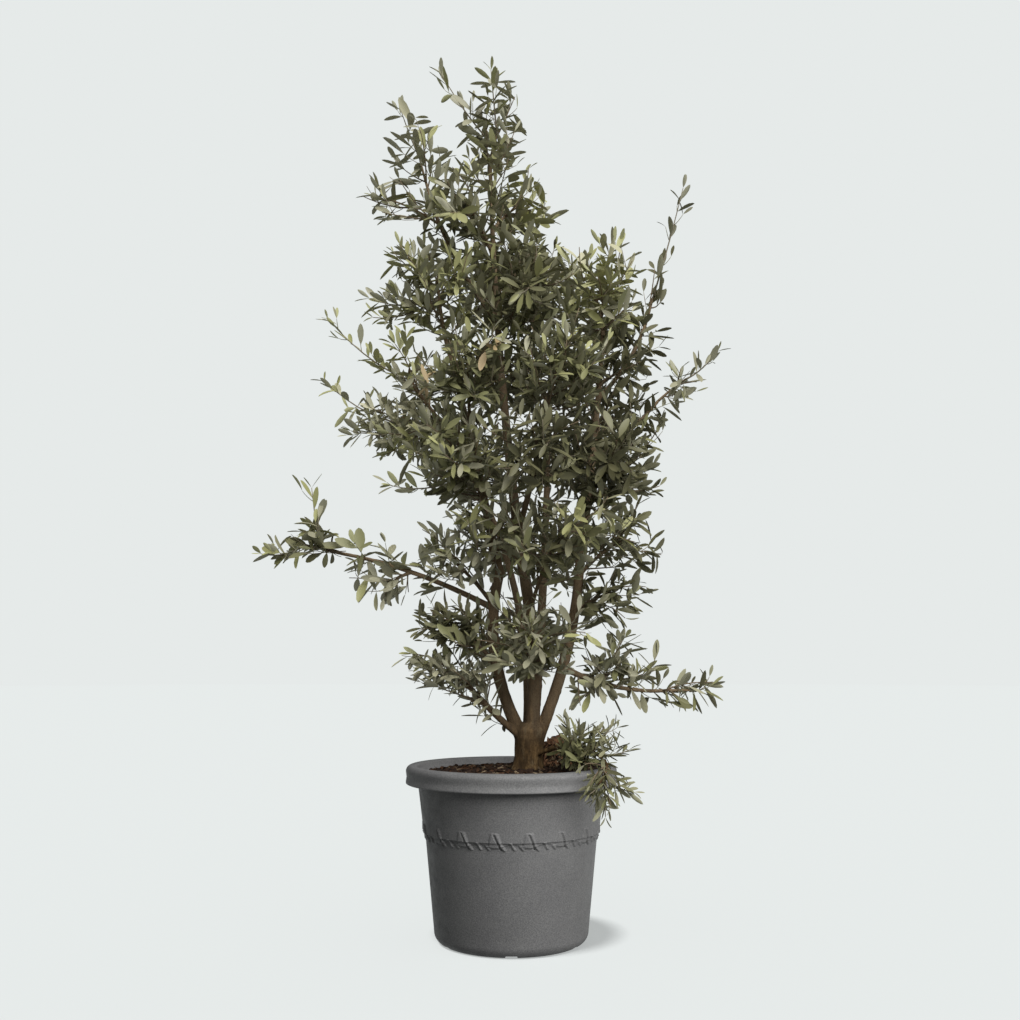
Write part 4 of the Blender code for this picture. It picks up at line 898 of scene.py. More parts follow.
# %% The masses of leaves
# name: carrier, "tip" or "side", centre, radii of the space, tips of the long shoots
MASSES = {
    "crown_top": ("upper_centre_stem", "tip", (-0.040, 0.00, 2.415), (0.11, 0.12, 0.17),
                  ((-0.066, 0.0, 2.637), (-0.235, 0.0, 2.616))),
    "upper_left_tuft": ("top_left_arm", "tip", (-0.275, -0.02, 2.330), (0.12, 0.12, 0.12),
                        ((-0.353, -0.02, 2.492),)),
    "left_tuft": ("top_left_arm", "side", (-0.365, -0.05, 2.155), (0.10, 0.11, 0.09), ()),
    "upper_front": ("upper_centre_stem", "side", (-0.135, -0.14, 2.115),
                    (0.14, 0.13, 0.15), ()),
    "upper_right": ("upper_centre_stem", "side", (0.035, 0.10, 2.225),
                    (0.11, 0.14, 0.16), ()),
    "left_shoulder": ("upper_left_stem", "tip", (-0.220, -0.07, 1.910), (0.16, 0.16, 0.13),
                      ((-0.377, -0.07, 2.004),)),
    "mid_upper_front": ("upper_centre_stem", "side", (0.040, -0.18, 1.850),
                        (0.15, 0.14, 0.17), ()),
    "mid_upper_back": ("upper_centre_stem", "side", (0.020, 0.18, 1.995),
                       (0.20, 0.15, 0.17), ()),
    "right_shoulder": ("upper_right_stem", "tip", (0.255, 0.00, 1.890), (0.14, 0.17, 0.14),
                       ((0.314, 0.0, 2.067),)),
    "spire": ("spire_arm", "tip", (0.430, 0.00, 1.925), (0.08, 0.09, 0.22),
              ((0.538, 0.0, 2.247),)),
    "left_mid": ("left_shoulder_arm", "tip", (-0.300, -0.06, 1.675), (0.11, 0.14, 0.12),
                 ((-0.571, -0.06, 1.800),)),
    "left_lower_mid": ("left_shoulder_arm", "side", (-0.325, 0.02, 1.480),
                       (0.14, 0.16, 0.12), ((-0.589, 0.0, 1.621), (-0.510, 0.0, 1.449))),
    "front_left": ("upper_left_stem", "side", (-0.120, -0.25, 1.590),
                   (0.14, 0.14, 0.14), ()),
    "front_right": ("front_arm", "tip", (0.130, -0.25, 1.590), (0.15, 0.14, 0.14), ()),
    "right_mid": ("upper_right_stem", "side", (0.325, -0.02, 1.620), (0.12, 0.18, 0.15), ()),
    "right_arm_tuft": ("right_arm", "tip", (0.520, 0.00, 1.610), (0.11, 0.11, 0.14),
                       ((0.647, 0.0, 1.720),)),
    "back_upper": ("back_stem", "tip", (0.030, 0.30, 1.720), (0.26, 0.13, 0.16), ()),
    "low_front_left": ("upper_left_stem", "side", (-0.150, -0.20, 1.355),
                       (0.14, 0.14, 0.13), ((-0.376, -0.10, 1.267),)),
    "low_front_middle": ("front_arm", "side", (0.060, -0.31, 1.340), (0.14, 0.13, 0.14), ()),
    "low_front_right": ("upper_right_stem", "side", (0.265, -0.20, 1.340),
                        (0.13, 0.14, 0.14), ()),
    "low_right": ("upper_right_stem", "side", (0.425, 0.04, 1.395), (0.09, 0.14, 0.16), ()),
    "back_left": ("back_left_stem", "tip", (-0.140, 0.27, 1.430), (0.19, 0.15, 0.16), ()),
    "back_right": ("back_stem", "side", (0.235, 0.28, 1.450), (0.19, 0.15, 0.17), ()),
    "skirt_left": ("upper_left_stem", "side", (-0.095, -0.11, 1.150),
                   (0.14, 0.14, 0.11), ()),
    "skirt_front": ("centre_stem", "side", (0.135, -0.27, 1.115), (0.15, 0.14, 0.12), ()),
    "skirt_right": ("right_stem", "side", (0.320, -0.02, 1.150), (0.10, 0.16, 0.13), ()),
    "skirt_back": ("back_stem", "side", (0.060, 0.28, 1.140), (0.25, 0.14, 0.14), ()),
    "left_heart": ("left_stem", "side", (-0.210, -0.05, 1.090), (0.12, 0.12, 0.10), ()),
    "left_arm_tip": ("left_arm", "tip", (-0.600, -0.02, 1.110), (0.11, 0.08, 0.07),
                     ((-0.761, -0.02, 1.077), (-0.592, -0.02, 1.310))),
    "left_arm_mid": ("left_arm", "side", (-0.370, -0.02, 1.010), (0.11, 0.09, 0.09), ()),
    "low_left": ("left_stem", "side", (-0.170, -0.12, 0.880), (0.12, 0.12, 0.09), ()),
    "base_left": ("low_left_limb", "tip", (-0.170, -0.06, 0.745), (0.12, 0.12, 0.09),
                  ((-0.302, -0.06, 0.771),)),
    "low_front": ("centre_stem", "side", (0.055, -0.18, 0.860), (0.14, 0.12, 0.11), ()),
    "low_right_heart": ("right_stem", "side", (0.275, -0.02, 0.945),
                        (0.12, 0.13, 0.12), ()),
    "right_arm_mid": ("low_right_arm", "side", (0.315, -0.03, 0.760), (0.14, 0.09, 0.09),
                      ((0.318, -0.03, 0.856),)),
    "right_arm_tip": ("low_right_arm", "tip", (0.510, -0.03, 0.690), (0.08, 0.07, 0.07),
                      ((0.585, -0.03, 0.709),)),
    "low_back": ("back_left_stem", "side", (0.025, 0.22, 0.840), (0.19, 0.13, 0.14), ()),
    "spill_foot": ("spill_limb", "side", (0.190, -0.07, 0.580), (0.10, 0.10, 0.09),
                   ((0.357, -0.10, 0.529),)),
    "spill_tip": ("spill_limb", "tip", (0.240, -0.27, 0.440), (0.08, 0.06, 0.08),
                  ((0.350, -0.25, 0.417),)),
}
print("masses:", len(MASSES), "long shoots:", sum(len(mass[4]) for mass in MASSES.values()))

# %% What the solids leave out
FINE_SHOOTS = {                   # whips too fine for the solids, within a hand of them
    "left_shoulder": ((-0.452, -0.07, 1.840), (-0.440, -0.07, 1.772)),
    "left_tuft": ((-0.440, -0.05, 2.175),), "upper_right": ((0.150, 0.05, 2.125),),
    "low_right_heart": ((0.350, -0.02, 1.005),),
    "right_arm_mid": ((0.180, -0.05, 0.655), (0.223, -0.06, 0.771)),
    "spill_foot": ((0.300, -0.08, 0.605), (0.135, -0.05, 0.630)),
    "spill_tip": ((0.245, -0.27, 0.339), (0.184, -0.31, 0.413)),
}
SHIFTS = {                        # of a space's centre: where twigs have sagged or risen
    "crown_top": (-0.004, 0, -0.025), "upper_left_tuft": (-0.008, 0, -0.02),
    "right_shoulder": (0.005, 0, -0.03), "spire": (0, 0, -0.06),
    "left_mid": (0, 0, -0.045), "right_mid": (-0.018, 0, 0), "low_right": (-0.022, 0, 0),
    "skirt_right": (0.01, 0, -0.025), "skirt_left": (0.01, 0, -0.02),
    "left_arm_mid": (0.01, 0, -0.02), "low_right_heart": (0.01, 0, 0.025),
    "upper_right": (0, 0, -0.02), "low_front": (0, 0, -0.03), "low_left": (0, 0, -0.01),
    "spill_foot": (0.005, -0.10, -0.045), "spill_tip": (-0.015, -0.01, 0.015),
}
print("fine whips:", sum(map(len, FINE_SHOOTS.values())), "moved spaces:", len(SHIFTS))

# %% Where stems and shoots leave their carriers
SAG = 0.09                        # how far a whip hangs before it rises, of its reach
WHIP_SHORT = 0.032                # the last leaf's part of a whip's length
SHOOT_ROOM = 0.050                # half of the width of a shoot's own space
LOW_FORKED = ("left_mid",)        # whose shoots may leave the stem near its foot
SEED = 1404
EDGE = 0.90                       # fullness at which the crown ends
CELL_OVERLAP = 0.05               # how far masses may reach into one another
FORK_ANGLE = 48.0                 # degrees between a carrier and what leaves it
CLEAR = 0.0025                    # between a stem and the wood that it passes
STEM_ROOM = 0.004                 # more between two stems
STEM_RADIUS = 0.0065              # at a stem's foot, at most
STEM_TIP = 0.0045                 # at its end, for the room that it needs
TRUNK_ROOM = 0.046                # the trunk's radius, as a string of beads
NAMES = list(MASSES)
CENTRES = np.array([np.add(MASSES[name][2], SHIFTS.get(name, (0, 0, 0))) for name in NAMES])
RADII = np.array([MASSES[name][3] for name in NAMES])


def mass_numbers(names):
    """The places of some masses in the table."""
    return [NAMES.index(name) for name in names]


def collar_end(line, radius, carrier_points, carrier_radii):
    """The part of a side stem at which it is clear of the limb that carries it."""
    t = np.linspace(0.0, 0.9, 361)
    away = np.linalg.norm(point_on(line, t)[:, None] - carrier_points, axis=2)
    free = (away - carrier_radii).min(axis=1) > 1.15 * radius + 0.004
    return float(t[np.argmax(free)])


def best_fork(line, target, low, high):
    """Places along a line, those first from which target lies at the fork angle."""
    t = np.linspace(low, high, 25)
    way = bowed_way(*line, t[:, None])
    turn = (way * unit(np.asarray(target) - point_on(line, t))).sum(axis=1)
    gaps = np.abs(np.degrees(np.arccos(np.clip(turn, -1.0, 1.0))) - FORK_ANGLE)
    return t[np.argsort(gaps, kind="stable")]


# %% Room: what wood stands where, and who owns a place
TRUNK_OWNER = -1
LIMB_OWNERS = {name: -2 - k for k, name in enumerate(LIMBS)}
GROUND_ROOM = 0.006


class Wood:
    """All the wood so far, as beads with radii and owners, in growing arrays."""

    def __init__(self):
        self.places = np.empty((0, 3))
        self.radii = np.empty(0)
        self.owners = np.empty(0, int)

    def add(self, owner, places, radii):
        """Record the beads of a mass's stem (its place in the table), trunk or limb."""
        self.places = np.concatenate([self.places, places])
        self.radii = np.concatenate([self.radii, np.broadcast_to(radii, len(places))])
        self.owners = np.concatenate([self.owners, np.full(len(places), owner)])

    def room(self, points, skip):
        """Least distance from each point to the wood that isn't skipped."""
        places, radii = self.places[~skip], self.radii[~skip]
        least = np.empty(len(points))
        for begin in range(0, len(points), 2000):
            away = np.linalg.norm(points[begin:begin + 2000, None] - places, axis=2) - radii
            least[begin:begin + 2000] = away.min(axis=1)
        return least


def clear_of_pot(points, room):
    """True where a point is off the pot and above the ground."""
    reach = np.hypot(points[:, 0], points[:, 1])
    over_rim = points[:, 2] > POT_HEIGHT + room
    ground = soil_height(points[:, 0], points[:, 1]) + GROUND_ROOM
    inside = (reach < RIM_INNER - 0.01) & (points[:, 2] > ground)
    above = (reach > RIM_INNER) | (points[:, 2] > ground)
    return (over_rim & above) | (reach > RIM_RADIUS + room) | inside


shoots = []                       # owner, line of the twig, start and tip of its room


def shoot_distance(points, start, tip):
    """Distance of each point from the straight middle of a shoot."""
    way = tip - start
    part = np.clip(((points - start) @ way) / (way @ way), 0.0, 1.0)
    return np.linalg.norm(points - start - part[:, None] * way, axis=1)


def owns(owner, points, least=EDGE):
    """True where a point lies in the owner's own space, or along one of its shoots.

    Each egg adds exp(1 - d squared), where d is the distance by its own measure. The sum is
    1 on the skin of a lone egg, and eggs that crowd together close the clefts between them.
    """
    away = ((points[:, None] - CENTRES) ** 2 / EGGS ** 2).sum(axis=2)
    mine = away[:, owner]
    others = np.delete(away, owner, axis=1).min(axis=1)
    full = np.exp(1.0 - away).sum(axis=1)
    good = (full >= least) & (mine <= others + CELL_OVERLAP)
    for holder, _, start, tip in shoots:
        if holder == owner:
            good |= shoot_distance(points, start, tip) < SHOOT_ROOM
    return good


# %% The stem of each mass
def stem_choices(name):
    """Paths that a mass's stem may take, the best first."""
    carrier, where = MASSES[name][:2]
    centre = CENTRES[NAMES.index(name)]
    line, radii = lines[carrier]
    if where == "tip":
        start, way = tip_start(line)
        bow = 0.10 * np.linalg.norm(centre - start) * way
        return [(path(start, centre, bow), (radii[1] * 0.95, STEM_TIP), None)]
    choices = []
    for s in best_fork(line, centre, 0.08, 0.92):
        start = point_on(line, s)[0]
        thick = min(STEM_RADIUS, 0.72 * (radii[0] + (radii[1] - radii[0]) * s))
        bow = 0.06 * np.linalg.norm(centre - start) * heading(line, s)
        choices.append((path(start, centre, bow), (thick, STEM_TIP), s))
    return choices


def route_stems(wood):
    """Choose each mass's stem: the first path that clears every limb and other stem."""
    stems = []
    for k, name in enumerate(NAMES):
        own = wood.owners == LIMB_OWNERS[MASSES[name][0]]
        stem_of_mass = wood.owners >= 0
        for line, radii, s in stem_choices(name):
            points, sizes = beads(line, radii)
            outer = points[2:]
            if s is not None:
                begin = collar_end(line, radii[0], *beads(*lines[MASSES[name][0]]))
                outer = point_on(line, np.linspace(begin * 0.9, 1.0, 30))
            apart = min(wood.room(outer, own | stem_of_mass).min(),
                        wood.room(outer, ~stem_of_mass).min() - STEM_ROOM
                        if stem_of_mass.any() else 1.0)
            if apart >= radii[0] + CLEAR and clear_of_pot(outer, radii[0] + CLEAR).all():
                break
        stems.append((line, radii, s))
        wood.add(k, points, sizes)
    return stems


wood = Wood()
wood.add(TRUNK_OWNER, FOOT + np.linspace(0.0, 1.0, 14)[:, None] * (FORK - FOOT), TRUNK_ROOM)
for limb, holder in LIMB_OWNERS.items():
    wood.add(holder, *beads(*lines[limb]))
stems = route_stems(wood)
for k, name in enumerate(NAMES):
    for tip in MASSES[name][4] + FINE_SHOOTS.get(name, ()):
        s = best_fork(stems[k][0], tip, 0.0 if name in LOW_FORKED else 0.5, 1.0)[0]
        start = point_on(stems[k][0], s)[0]
        short = WHIP_SHORT * unit(np.array(tip) - start)
        sag = -SAG * float(np.hypot(*(tip - start)[:2]))
        shoots.append((k, path(start, tip - short, (0, 0, sag)), start, np.array(tip)))
print("stems:", len(stems), "shoots:", len(shoots), "beads of wood:", len(wood.radii))

# %% [markdown]
# ## Growing finer twigs
# The solids carry a few twigs to a mass. Here the same rule goes on: twigs to places spread
# evenly over the egg, each from the fork on stem or limb that suits it best, then twiglets
# along each twig, and leaves in pairs along both, each pair a quarter turn round from the
# last, as an olive sets them. Every spray ends at an edge of its own: most at the skin of
# the space, some short of it, a few as whips beyond it. That makes the ragged outline.

# %% How leafy each mass is
TWIG_AREA = 0.0175                # of an egg's surface for each twig
# mass: its part of the usual twigs, small where the sky shows; the width of its egg against
# the solids'; its way between leaf pairs, and its leaves' length and breadth, against the
# usual ones; steps towards the lighter leaf colours, as painted light or shade on the mass
HABITS = {
    "crown_top": (0.46, 1.00, 1.08, 1.18, 1.00, 1.1),
    "upper_left_tuft": (0.18, 0.90, 1.35, 1.18, 1.00, 2.8),
    "left_tuft": (0.26, 0.82, 1.00, 1.15, 1.00, -0.3),
    "upper_front": (0.70, 1.00, 1.00, 1.10, 1.00, 0.1),
    "upper_right": (0.66, 0.92, 1.12, 1.10, 1.00, 2.7),
    "left_shoulder": (0.54, 1.05, 1.00, 1.05, 1.00, 1.9),
    "mid_upper_front": (1.00, 1.00, 1.00, 1.00, 1.00, -0.4),
    "mid_upper_back": (1.00, 1.00, 1.00, 1.00, 1.00, 0.0),
    "right_shoulder": (0.84, 1.05, 1.00, 1.15, 1.00, 3.4),
    "spire": (1.25, 0.48, 1.15, 1.12, 1.00, -4.2),
    "left_mid": (0.22, 0.88, 1.15, 0.92, 1.00, 4.2),
    "left_lower_mid": (0.95, 1.00, 1.00, 0.92, 1.00, 5.6),
    "front_left": (1.00, 1.00, 1.00, 1.00, 1.00, 0.2),
    "front_right": (1.00, 1.00, 1.00, 1.00, 1.00, 0.0),
    "right_mid": (0.66, 0.97, 1.06, 1.00, 1.00, -3.0),
    "right_arm_tuft": (0.15, 0.55, 1.55, 1.00, 1.00, 0.6),
    "back_upper": (1.00, 0.94, 1.00, 1.00, 1.00, 0.2),
    "low_front_left": (1.00, 1.00, 1.00, 1.00, 1.00, 0.8),
    "low_front_middle": (1.00, 1.00, 1.00, 1.00, 1.00, -2.2),
    "low_front_right": (1.00, 1.00, 1.00, 1.00, 1.00, -2.0),
    "low_right": (0.34, 0.90, 1.20, 1.00, 1.00, -0.7),
    "back_left": (0.80, 0.95, 1.00, 1.00, 1.00, 0.0),
    "back_right": (0.80, 1.00, 1.00, 1.00, 1.00, -0.6),
    "skirt_left": (0.85, 1.00, 1.00, 1.00, 1.00, 2.6),
    "skirt_front": (1.00, 1.00, 1.00, 1.00, 1.00, -0.4),
    "skirt_right": (0.62, 1.00, 1.00, 1.00, 1.00, -2.4),
    "skirt_back": (0.55, 1.00, 1.00, 1.00, 1.00, 0.0),
    "left_heart": (0.46, 1.00, 1.12, 1.00, 1.00, 5.6),
    "left_arm_tip": (0.22, 0.92, 1.10, 1.08, 1.28, -1.3),
    "left_arm_mid": (0.42, 0.94, 1.20, 1.15, 1.20, 1.2),
    "low_left": (1.55, 0.93, 0.90, 0.96, 1.00, -0.8),
    "base_left": (1.05, 1.04, 1.00, 0.94, 1.00, 4.0),
    "low_front": (1.05, 1.05, 1.00, 0.92, 1.00, 1.8),
    "low_right_heart": (0.52, 1.00, 1.15, 0.94, 1.00, -1.5),
    "right_arm_mid": (0.52, 1.04, 1.06, 0.98, 1.10, 0.8),
    "right_arm_tip": (0.28, 1.00, 1.60, 1.04, 1.00, -0.1),
    "low_back": (0.55, 1.00, 1.00, 1.00, 1.00, 0.0),
    "spill_foot": (2.20, 0.84, 1.12, 0.76, 0.80, -1.2),
    "spill_tip": (1.60, 0.90, 1.15, 0.74, 0.80, -1.8),
}
SHARES, SLIM, AIRY, LEAF_SIZES, BREADTHS, PAINTED_LIGHT_STEPS = np.array(
    [HABITS[name] for name in NAMES]).T
EGGS = RADII * SLIM[:, None]
print("eggs from", EGGS.min().round(3), "to", EGGS.max().round(3), "m")

# %% How twigs grow
TWIG_LENGTH = 0.165               # that a twig likes to have
TWIG_ANGLE = 42.0                 # that it likes to leave its carrier at
TWIGLET_STEP = 0.055
TWIGLET_ANGLE = 46.0
TWIGLET_LENGTHS = (0.050, 0.120)
GOLDEN_TURN = 2.4                 # radians round the carrier from one to the next
TIP_LEAF = 0.025                  # room that is kept beyond the tip of a twiglet
SPRIG_LENGTHS = (0.030, 0.065)    # on a whip
EDGES = (0.55, 0.90, 1.35)        # fullness at which a spray ends: a whip, most, a dent
EDGE_SHARES = (0.18, 0.52, 0.30)
SHOOT_EDGE = 0.3                  # and at which a shoot's leaves end
LEAFY_LIMBS = {                   # where the sprigs begin, and metres from one to the next
    "left_arm": (0.30, 0.044), "low_right_arm": (0.08, 0.040), "right_arm": (0.20, 0.034),
    "spire_arm": (0.30, 0.026), "top_left_arm": (0.20, 0.030),
    "left_shoulder_arm": (0.20, 0.026), "low_left_limb": (0.42, 0.030),
    "spill_limb": (0.35, 0.024),
}
SKEW = (0.3, 0.2, 1.0)            # hardly any twig runs this way, so it gives a first side
KINDS = {"twig": 0, "shoot": 1, "twiglet": 2, "sprig": 3}
WOOD_RADII = {"twig": (0.0027, 0.0012), "shoot": (0.0032, 0.0012),
              "twiglet": (0.0015, 0.0009), "sprig": (0.0015, 0.0009)}


def even_directions(count, rng):
    """Directions spread evenly over a ball by the golden turn, in a seeded attitude."""
    k = np.arange(count) + 0.5
    high = 1.0 - 2.0 * k / count
    turn = math.pi * (1.0 + math.sqrt(5.0)) * k + rng.uniform(0.0, 2.0 * math.pi)
    wide = np.sqrt(1.0 - high ** 2)
    return np.stack([wide * np.cos(turn), wide * np.sin(turn), high], axis=1)


def fits(owner, points, room, least=EDGE):
    """True where points (..., 3) lie in the owner's space, clear of wood and of the pot."""
    flat = points.reshape(-1, 3)
    good = clear_of_pot(flat, room)
    if least is not None:
        good &= owns(owner, flat, least)
    good[good] = wood.room(flat[good], wood.owners == owner) > room
    return good.reshape(points.shape[:-1])


def farthest(owner, target, least):
    """How far the owner's space goes in one direction, in egg radii."""
    reach = np.arange(0.20, 1.9, 0.05)
    inside = owns(owner, CENTRES[owner] + reach[:, None] * EGGS[owner] * target, least)
    return reach[np.argmin(inside)] if not inside.all() else reach[-1]


# %% Twigs from their best forks
def fork_places(owner):
    """Points and headings a twig may start from: the stem, and its limb where it passes."""
    stem, limb = stems[owner][0], lines[MASSES[NAMES[owner]][0]][0]
    on_stem, on_limb = np.linspace(0.12, 1.0, 24), np.linspace(0.15, 0.98, 40)
    on_limb = on_limb[owns(owner, point_on(limb, on_limb), 0.45)]
    return (np.concatenate([point_on(stem, on_stem), point_on(limb, on_limb)]),
            np.concatenate([bowed_way(*stem, on_stem[:, None]),
                            bowed_way(*limb, on_limb[:, None])]))


def grow_twigs(owner, rng):
    """Twigs to places evenly in the space, each to its own edge of it.

    Each takes the fork that suits its angle and length best and leaves it room. Where none
    does, the twig is tried shorter. A low twig rises and a high one hangs, a little.
    """
    places, ways = fork_places(owner)
    surface = 4.0 * math.pi * np.prod(EGGS[owner]) ** (2.0 / 3.0)
    count = max(4, int(round(surface / TWIG_AREA * SHARES[owner])))
    found = []
    for target in even_directions(count, rng):
        least = rng.choice(EDGES, p=EDGE_SHARES)
        skin = CENTRES[owner] + farthest(owner, target, least) * EGGS[owner] * target
        back = unit(skin - CENTRES[owner]) * rng.uniform(0.025, 0.050)
        for part in (1.0, 0.8, 0.6, 0.4):
            end = CENTRES[owner] + part * (skin - back - CENTRES[owner])
            way = end - places
            long = np.linalg.norm(way, axis=1)
            angle = np.degrees(np.arccos(np.clip((unit(way) * ways).sum(axis=1), -1, 1)))
            score = (np.abs(angle - TWIG_ANGLE) / 24.0 + np.abs(long - TWIG_LENGTH) / 0.06
                     + rng.uniform(0.0, 0.8, len(long)))
            best = np.argsort(score)[:5]
            t = np.linspace(0.35, 1.0, 6)[:, None]
            spots = places[best][:, None] + t * way[best][:, None]
            good = fits(owner, spots, 0.003, None).all(axis=1)
            if good.any():
                k = best[np.argmax(good)]
                lift = rng.normal(-0.05, 0.05) if end[2] > 1.2 else rng.normal(0.03, 0.05)
                aside = 0.04 * rng.normal(size=3)
                bow = long[k] * (aside + (0.0, 0.0, lift))
                found.append(((places[k], end, bow), least))
                break
    return found


# %% Twiglets along their carriers
def side_pieces(owner, line, least, first, sizes, step, rng):
    """Twiglets in turn around one carrier: rows of start, end and edge.

    One that has no room is tried at 0.7 and then at 0.45 of its length.
    """
    length = line_length(line)
    t = np.arange(first, 0.94, step / length)
    t = np.clip(t + rng.uniform(-0.3, 0.3, len(t)) * step / length, 0.05, 0.97)
    start, way = point_on(line, t), heading(line, 0.6)
    aside = unit(np.cross(way, SKEW))
    angle = rng.uniform(0.0, math.pi) + GOLDEN_TURN * np.arange(len(t))
    spoke = np.cos(angle)[:, None] * aside + np.sin(angle)[:, None] * np.cross(way, aside)
    lean = np.radians(TWIGLET_ANGLE + rng.normal(0.0, 9.0, len(t)))[:, None]
    out = unit(np.cos(lean) * way + np.sin(lean) * spoke + (0.0, 0.0, 0.25))
    size = rng.uniform(*sizes, len(t))[:, None] * (1.15 - 0.5 * t[:, None])
    rows, todo = [], np.arange(len(t))
    for part in (1.0, 0.7, 0.45):
        tip = start[todo] + part * size[todo] * out[todo]
        spots = np.stack([tip + TIP_LEAF * out[todo], 0.5 * (tip + start[todo])], axis=1)
        good = fits(owner, spots, 0.002, least).all(axis=1)
        rows += [(a, b, 0.0 if least is None else least)
                 for a, b in zip(start[todo][good], tip[good])]
        todo = todo[~good]
    return rows


def grow_mass(owner):
    """All the leafy axes of one mass: starts, ends, bows, (radii, kind, edge) and owner."""
    rng = np.random.default_rng(SEED + owner)
    rows = []
    whips = [(line, SHOOT_EDGE) for holder, line, _, _ in shoots if holder == owner]
    twigs = grow_twigs(owner, rng)
    for kind, carriers in (("shoot", whips), ("twig", twigs)):
        rows += [(*line, *WOOD_RADII[kind], KINDS[kind], least) for line, least in carriers]
    for carriers, first, kind, sizes in ((twigs, 0.22, "twiglet", TWIGLET_LENGTHS),
                                         (whips, 0.20, "sprig", SPRIG_LENGTHS)):
        for line, edge in carriers:
            for start, end, least in side_pieces(owner, line, edge, first, sizes,
                                                 TWIGLET_STEP, rng):
                bow = (0.0, 0.0, -0.07 * np.linalg.norm(end - start))
                rows.append((start, end, bow, *WOOD_RADII[kind], KINDS[kind], least))
    starts, ends, bows = (np.array([row[k] for row in rows]) for k in range(3))
    return starts, ends, bows, np.array([row[3:] for row in rows]), np.full(len(rows), owner)


def grow_on_limb(limb, first, step):
    """Sprigs straight from a thin limb, which its nearest mass takes in."""
    rng = np.random.default_rng(SEED + 100 + list(LIMBS).index(limb))
    line = lines[limb][0]
    rows = side_pieces(TRUNK_OWNER, line, None, first, TWIGLET_LENGTHS, step, rng)
    starts, ends = (np.array([row[k] for row in rows]) for k in range(2))
    bows = np.zeros_like(starts)
    bows[:, 2] = rng.normal(-0.04, 0.05, len(rows)) * np.linalg.norm(ends - starts, axis=1)
    nearest = np.linalg.norm((ends[:, None] - CENTRES) / RADII, axis=2).argmin(axis=1)
    return starts, ends, bows, np.tile((0.0016, 0.0009, KINDS["sprig"], 0.0),
                                       (len(rows), 1)), nearest


grown = [grow_mass(owner) for owner in range(len(NAMES))]
grown += [grow_on_limb(limb, first, step) for limb, (first, step) in LEAFY_LIMBS.items()]
starts, ends, bows, numbers, owners = (np.concatenate([part[k] for part in grown])
                                       for k in range(5))
wood_ends, kinds, spray_edges = numbers[:, :2], numbers[:, 2].astype(int), numbers[:, 3]
lengths = np.linalg.norm(ends - starts, axis=1)
print("axes:", {kind: int((kinds == k).sum()) for kind, k in KINDS.items()})

# %% [markdown]
# ## Wood of the crown
# The stems of the masses are bark like the limbs. Twigs are thin tapering tubes with few
# sides. At this width bark shows no pattern, so their colour is plain, dealt out by their
# age: brown on twigs, grey on long shoots and twiglets, and green on sprigs, the youngest.


# %% Stems, twigs and twiglets
STEM_END = 0.0024                 # as thin as a stem is drawn at its end


def plain(name, colour, roughness, specular=0.35):
    """A plain colour for pieces too small to show a pattern."""
    return finish(name, colour, roughness, specular)[0]


def build_stems():
    """The masses' stems, flared where they leave their limb, drawn on to their ends."""
    t = np.linspace(0.0, 1.0, 22)
    centres, radii = np.empty((len(stems), len(t), 3)), np.empty((len(stems), len(t)))
    for k, (line, (thick, _), fork) in enumerate(stems):
        centres[k] = point_on(line, t)
        flare = 0.0 if fork is None else 0.45 * np.exp(-t * line_length(line) / 0.016)
        radii[k] = (thick + (STEM_END - thick) * t) * (1.0 + flare)
    radii *= 1.0 + 0.05 * lattice_noise(centres.reshape(-1, 3) / 0.02, 3).reshape(radii.shape)
    points, quads, caps = tubes(centres, radii, sides=10, flutes=0.05)
    return new_piece("crown_stems", points, [quads, caps], [BARK])


TWIG_COLOURS = [plain("twig_brown", (0.165, 0.122, 0.076), 0.80),
                plain("twig_grey", (0.240, 0.205, 0.145), 0.75),
                plain("twig_green", (0.230, 0.222, 0.130), 0.70)]
TWIG_TONES = np.array([0, 1, 1, 2])          # the colour's place in that list, by kind


def axis_points(chosen, parts):
    """Points (N, R, 3) on the chosen axes at the given parts of the way."""
    return bowed(starts[chosen, None], ends[chosen, None], bows[chosen, None],
                 parts[None, :, None])


def build_twigs(name, chosen, rings, sides):
    """Tapering tubes over the chosen axes, coloured by kind."""
    parts = np.linspace(0.0, 1.0, rings)
    thick, thin = wood_ends[chosen, :1], wood_ends[chosen, 1:]
    radii = thick + parts * (thin - thick)
    points, quads, caps = tubes(axis_points(chosen, parts), radii, sides)
    tone = TWIG_TONES[kinds[chosen]]
    choice = np.concatenate([np.repeat(tone, (rings - 1) * sides), np.repeat(tone, 2 * sides)])
    return new_piece(name, points, [quads, caps], TWIG_COLOURS, choice=choice)


build_stems()
thicker = np.isin(kinds, (KINDS["twig"], KINDS["shoot"]))
build_twigs("crown_twigs", np.flatnonzero(thicker), rings=8, sides=5)
build_twigs("crown_twiglets", np.flatnonzero(~thicker), rings=5, sides=3)

# %% [markdown]
# ## One leaf
# An olive leaf is a narrow lance, 4 to 8 cm long, folded a little along its midrib and bent
# along its length, dark above and silver beneath. One shape does for all of them: its
# outline is a width at five places, its upper face is two strips that meet in the midrib,
# its lower face is drawn half a millimetre below, and both share the outline, so the leaf
# is closed. That is twenty-two points and forty triangles, worked out for all leaves at
# once.

# %% The leaf as a function of its place, directions and bends
LEAF_STATIONS = np.array([0.07, 0.24, 0.46, 0.70, 0.91])
LEAF_OUTLINE = np.array([0.12, 0.60, 0.95, 0.97, 0.55])
SPANS = len(LEAF_STATIONS) - 1
LEAF_CORNERS = 4 * len(LEAF_STATIONS) + 2
LEAF_BODY = 0.0005
LEAF_UPPER = np.array([(0, 1, 2), (0, 2, 3)])
LEAF_LOWER = np.array([(0, 4, 1), (0, 3, 4)])


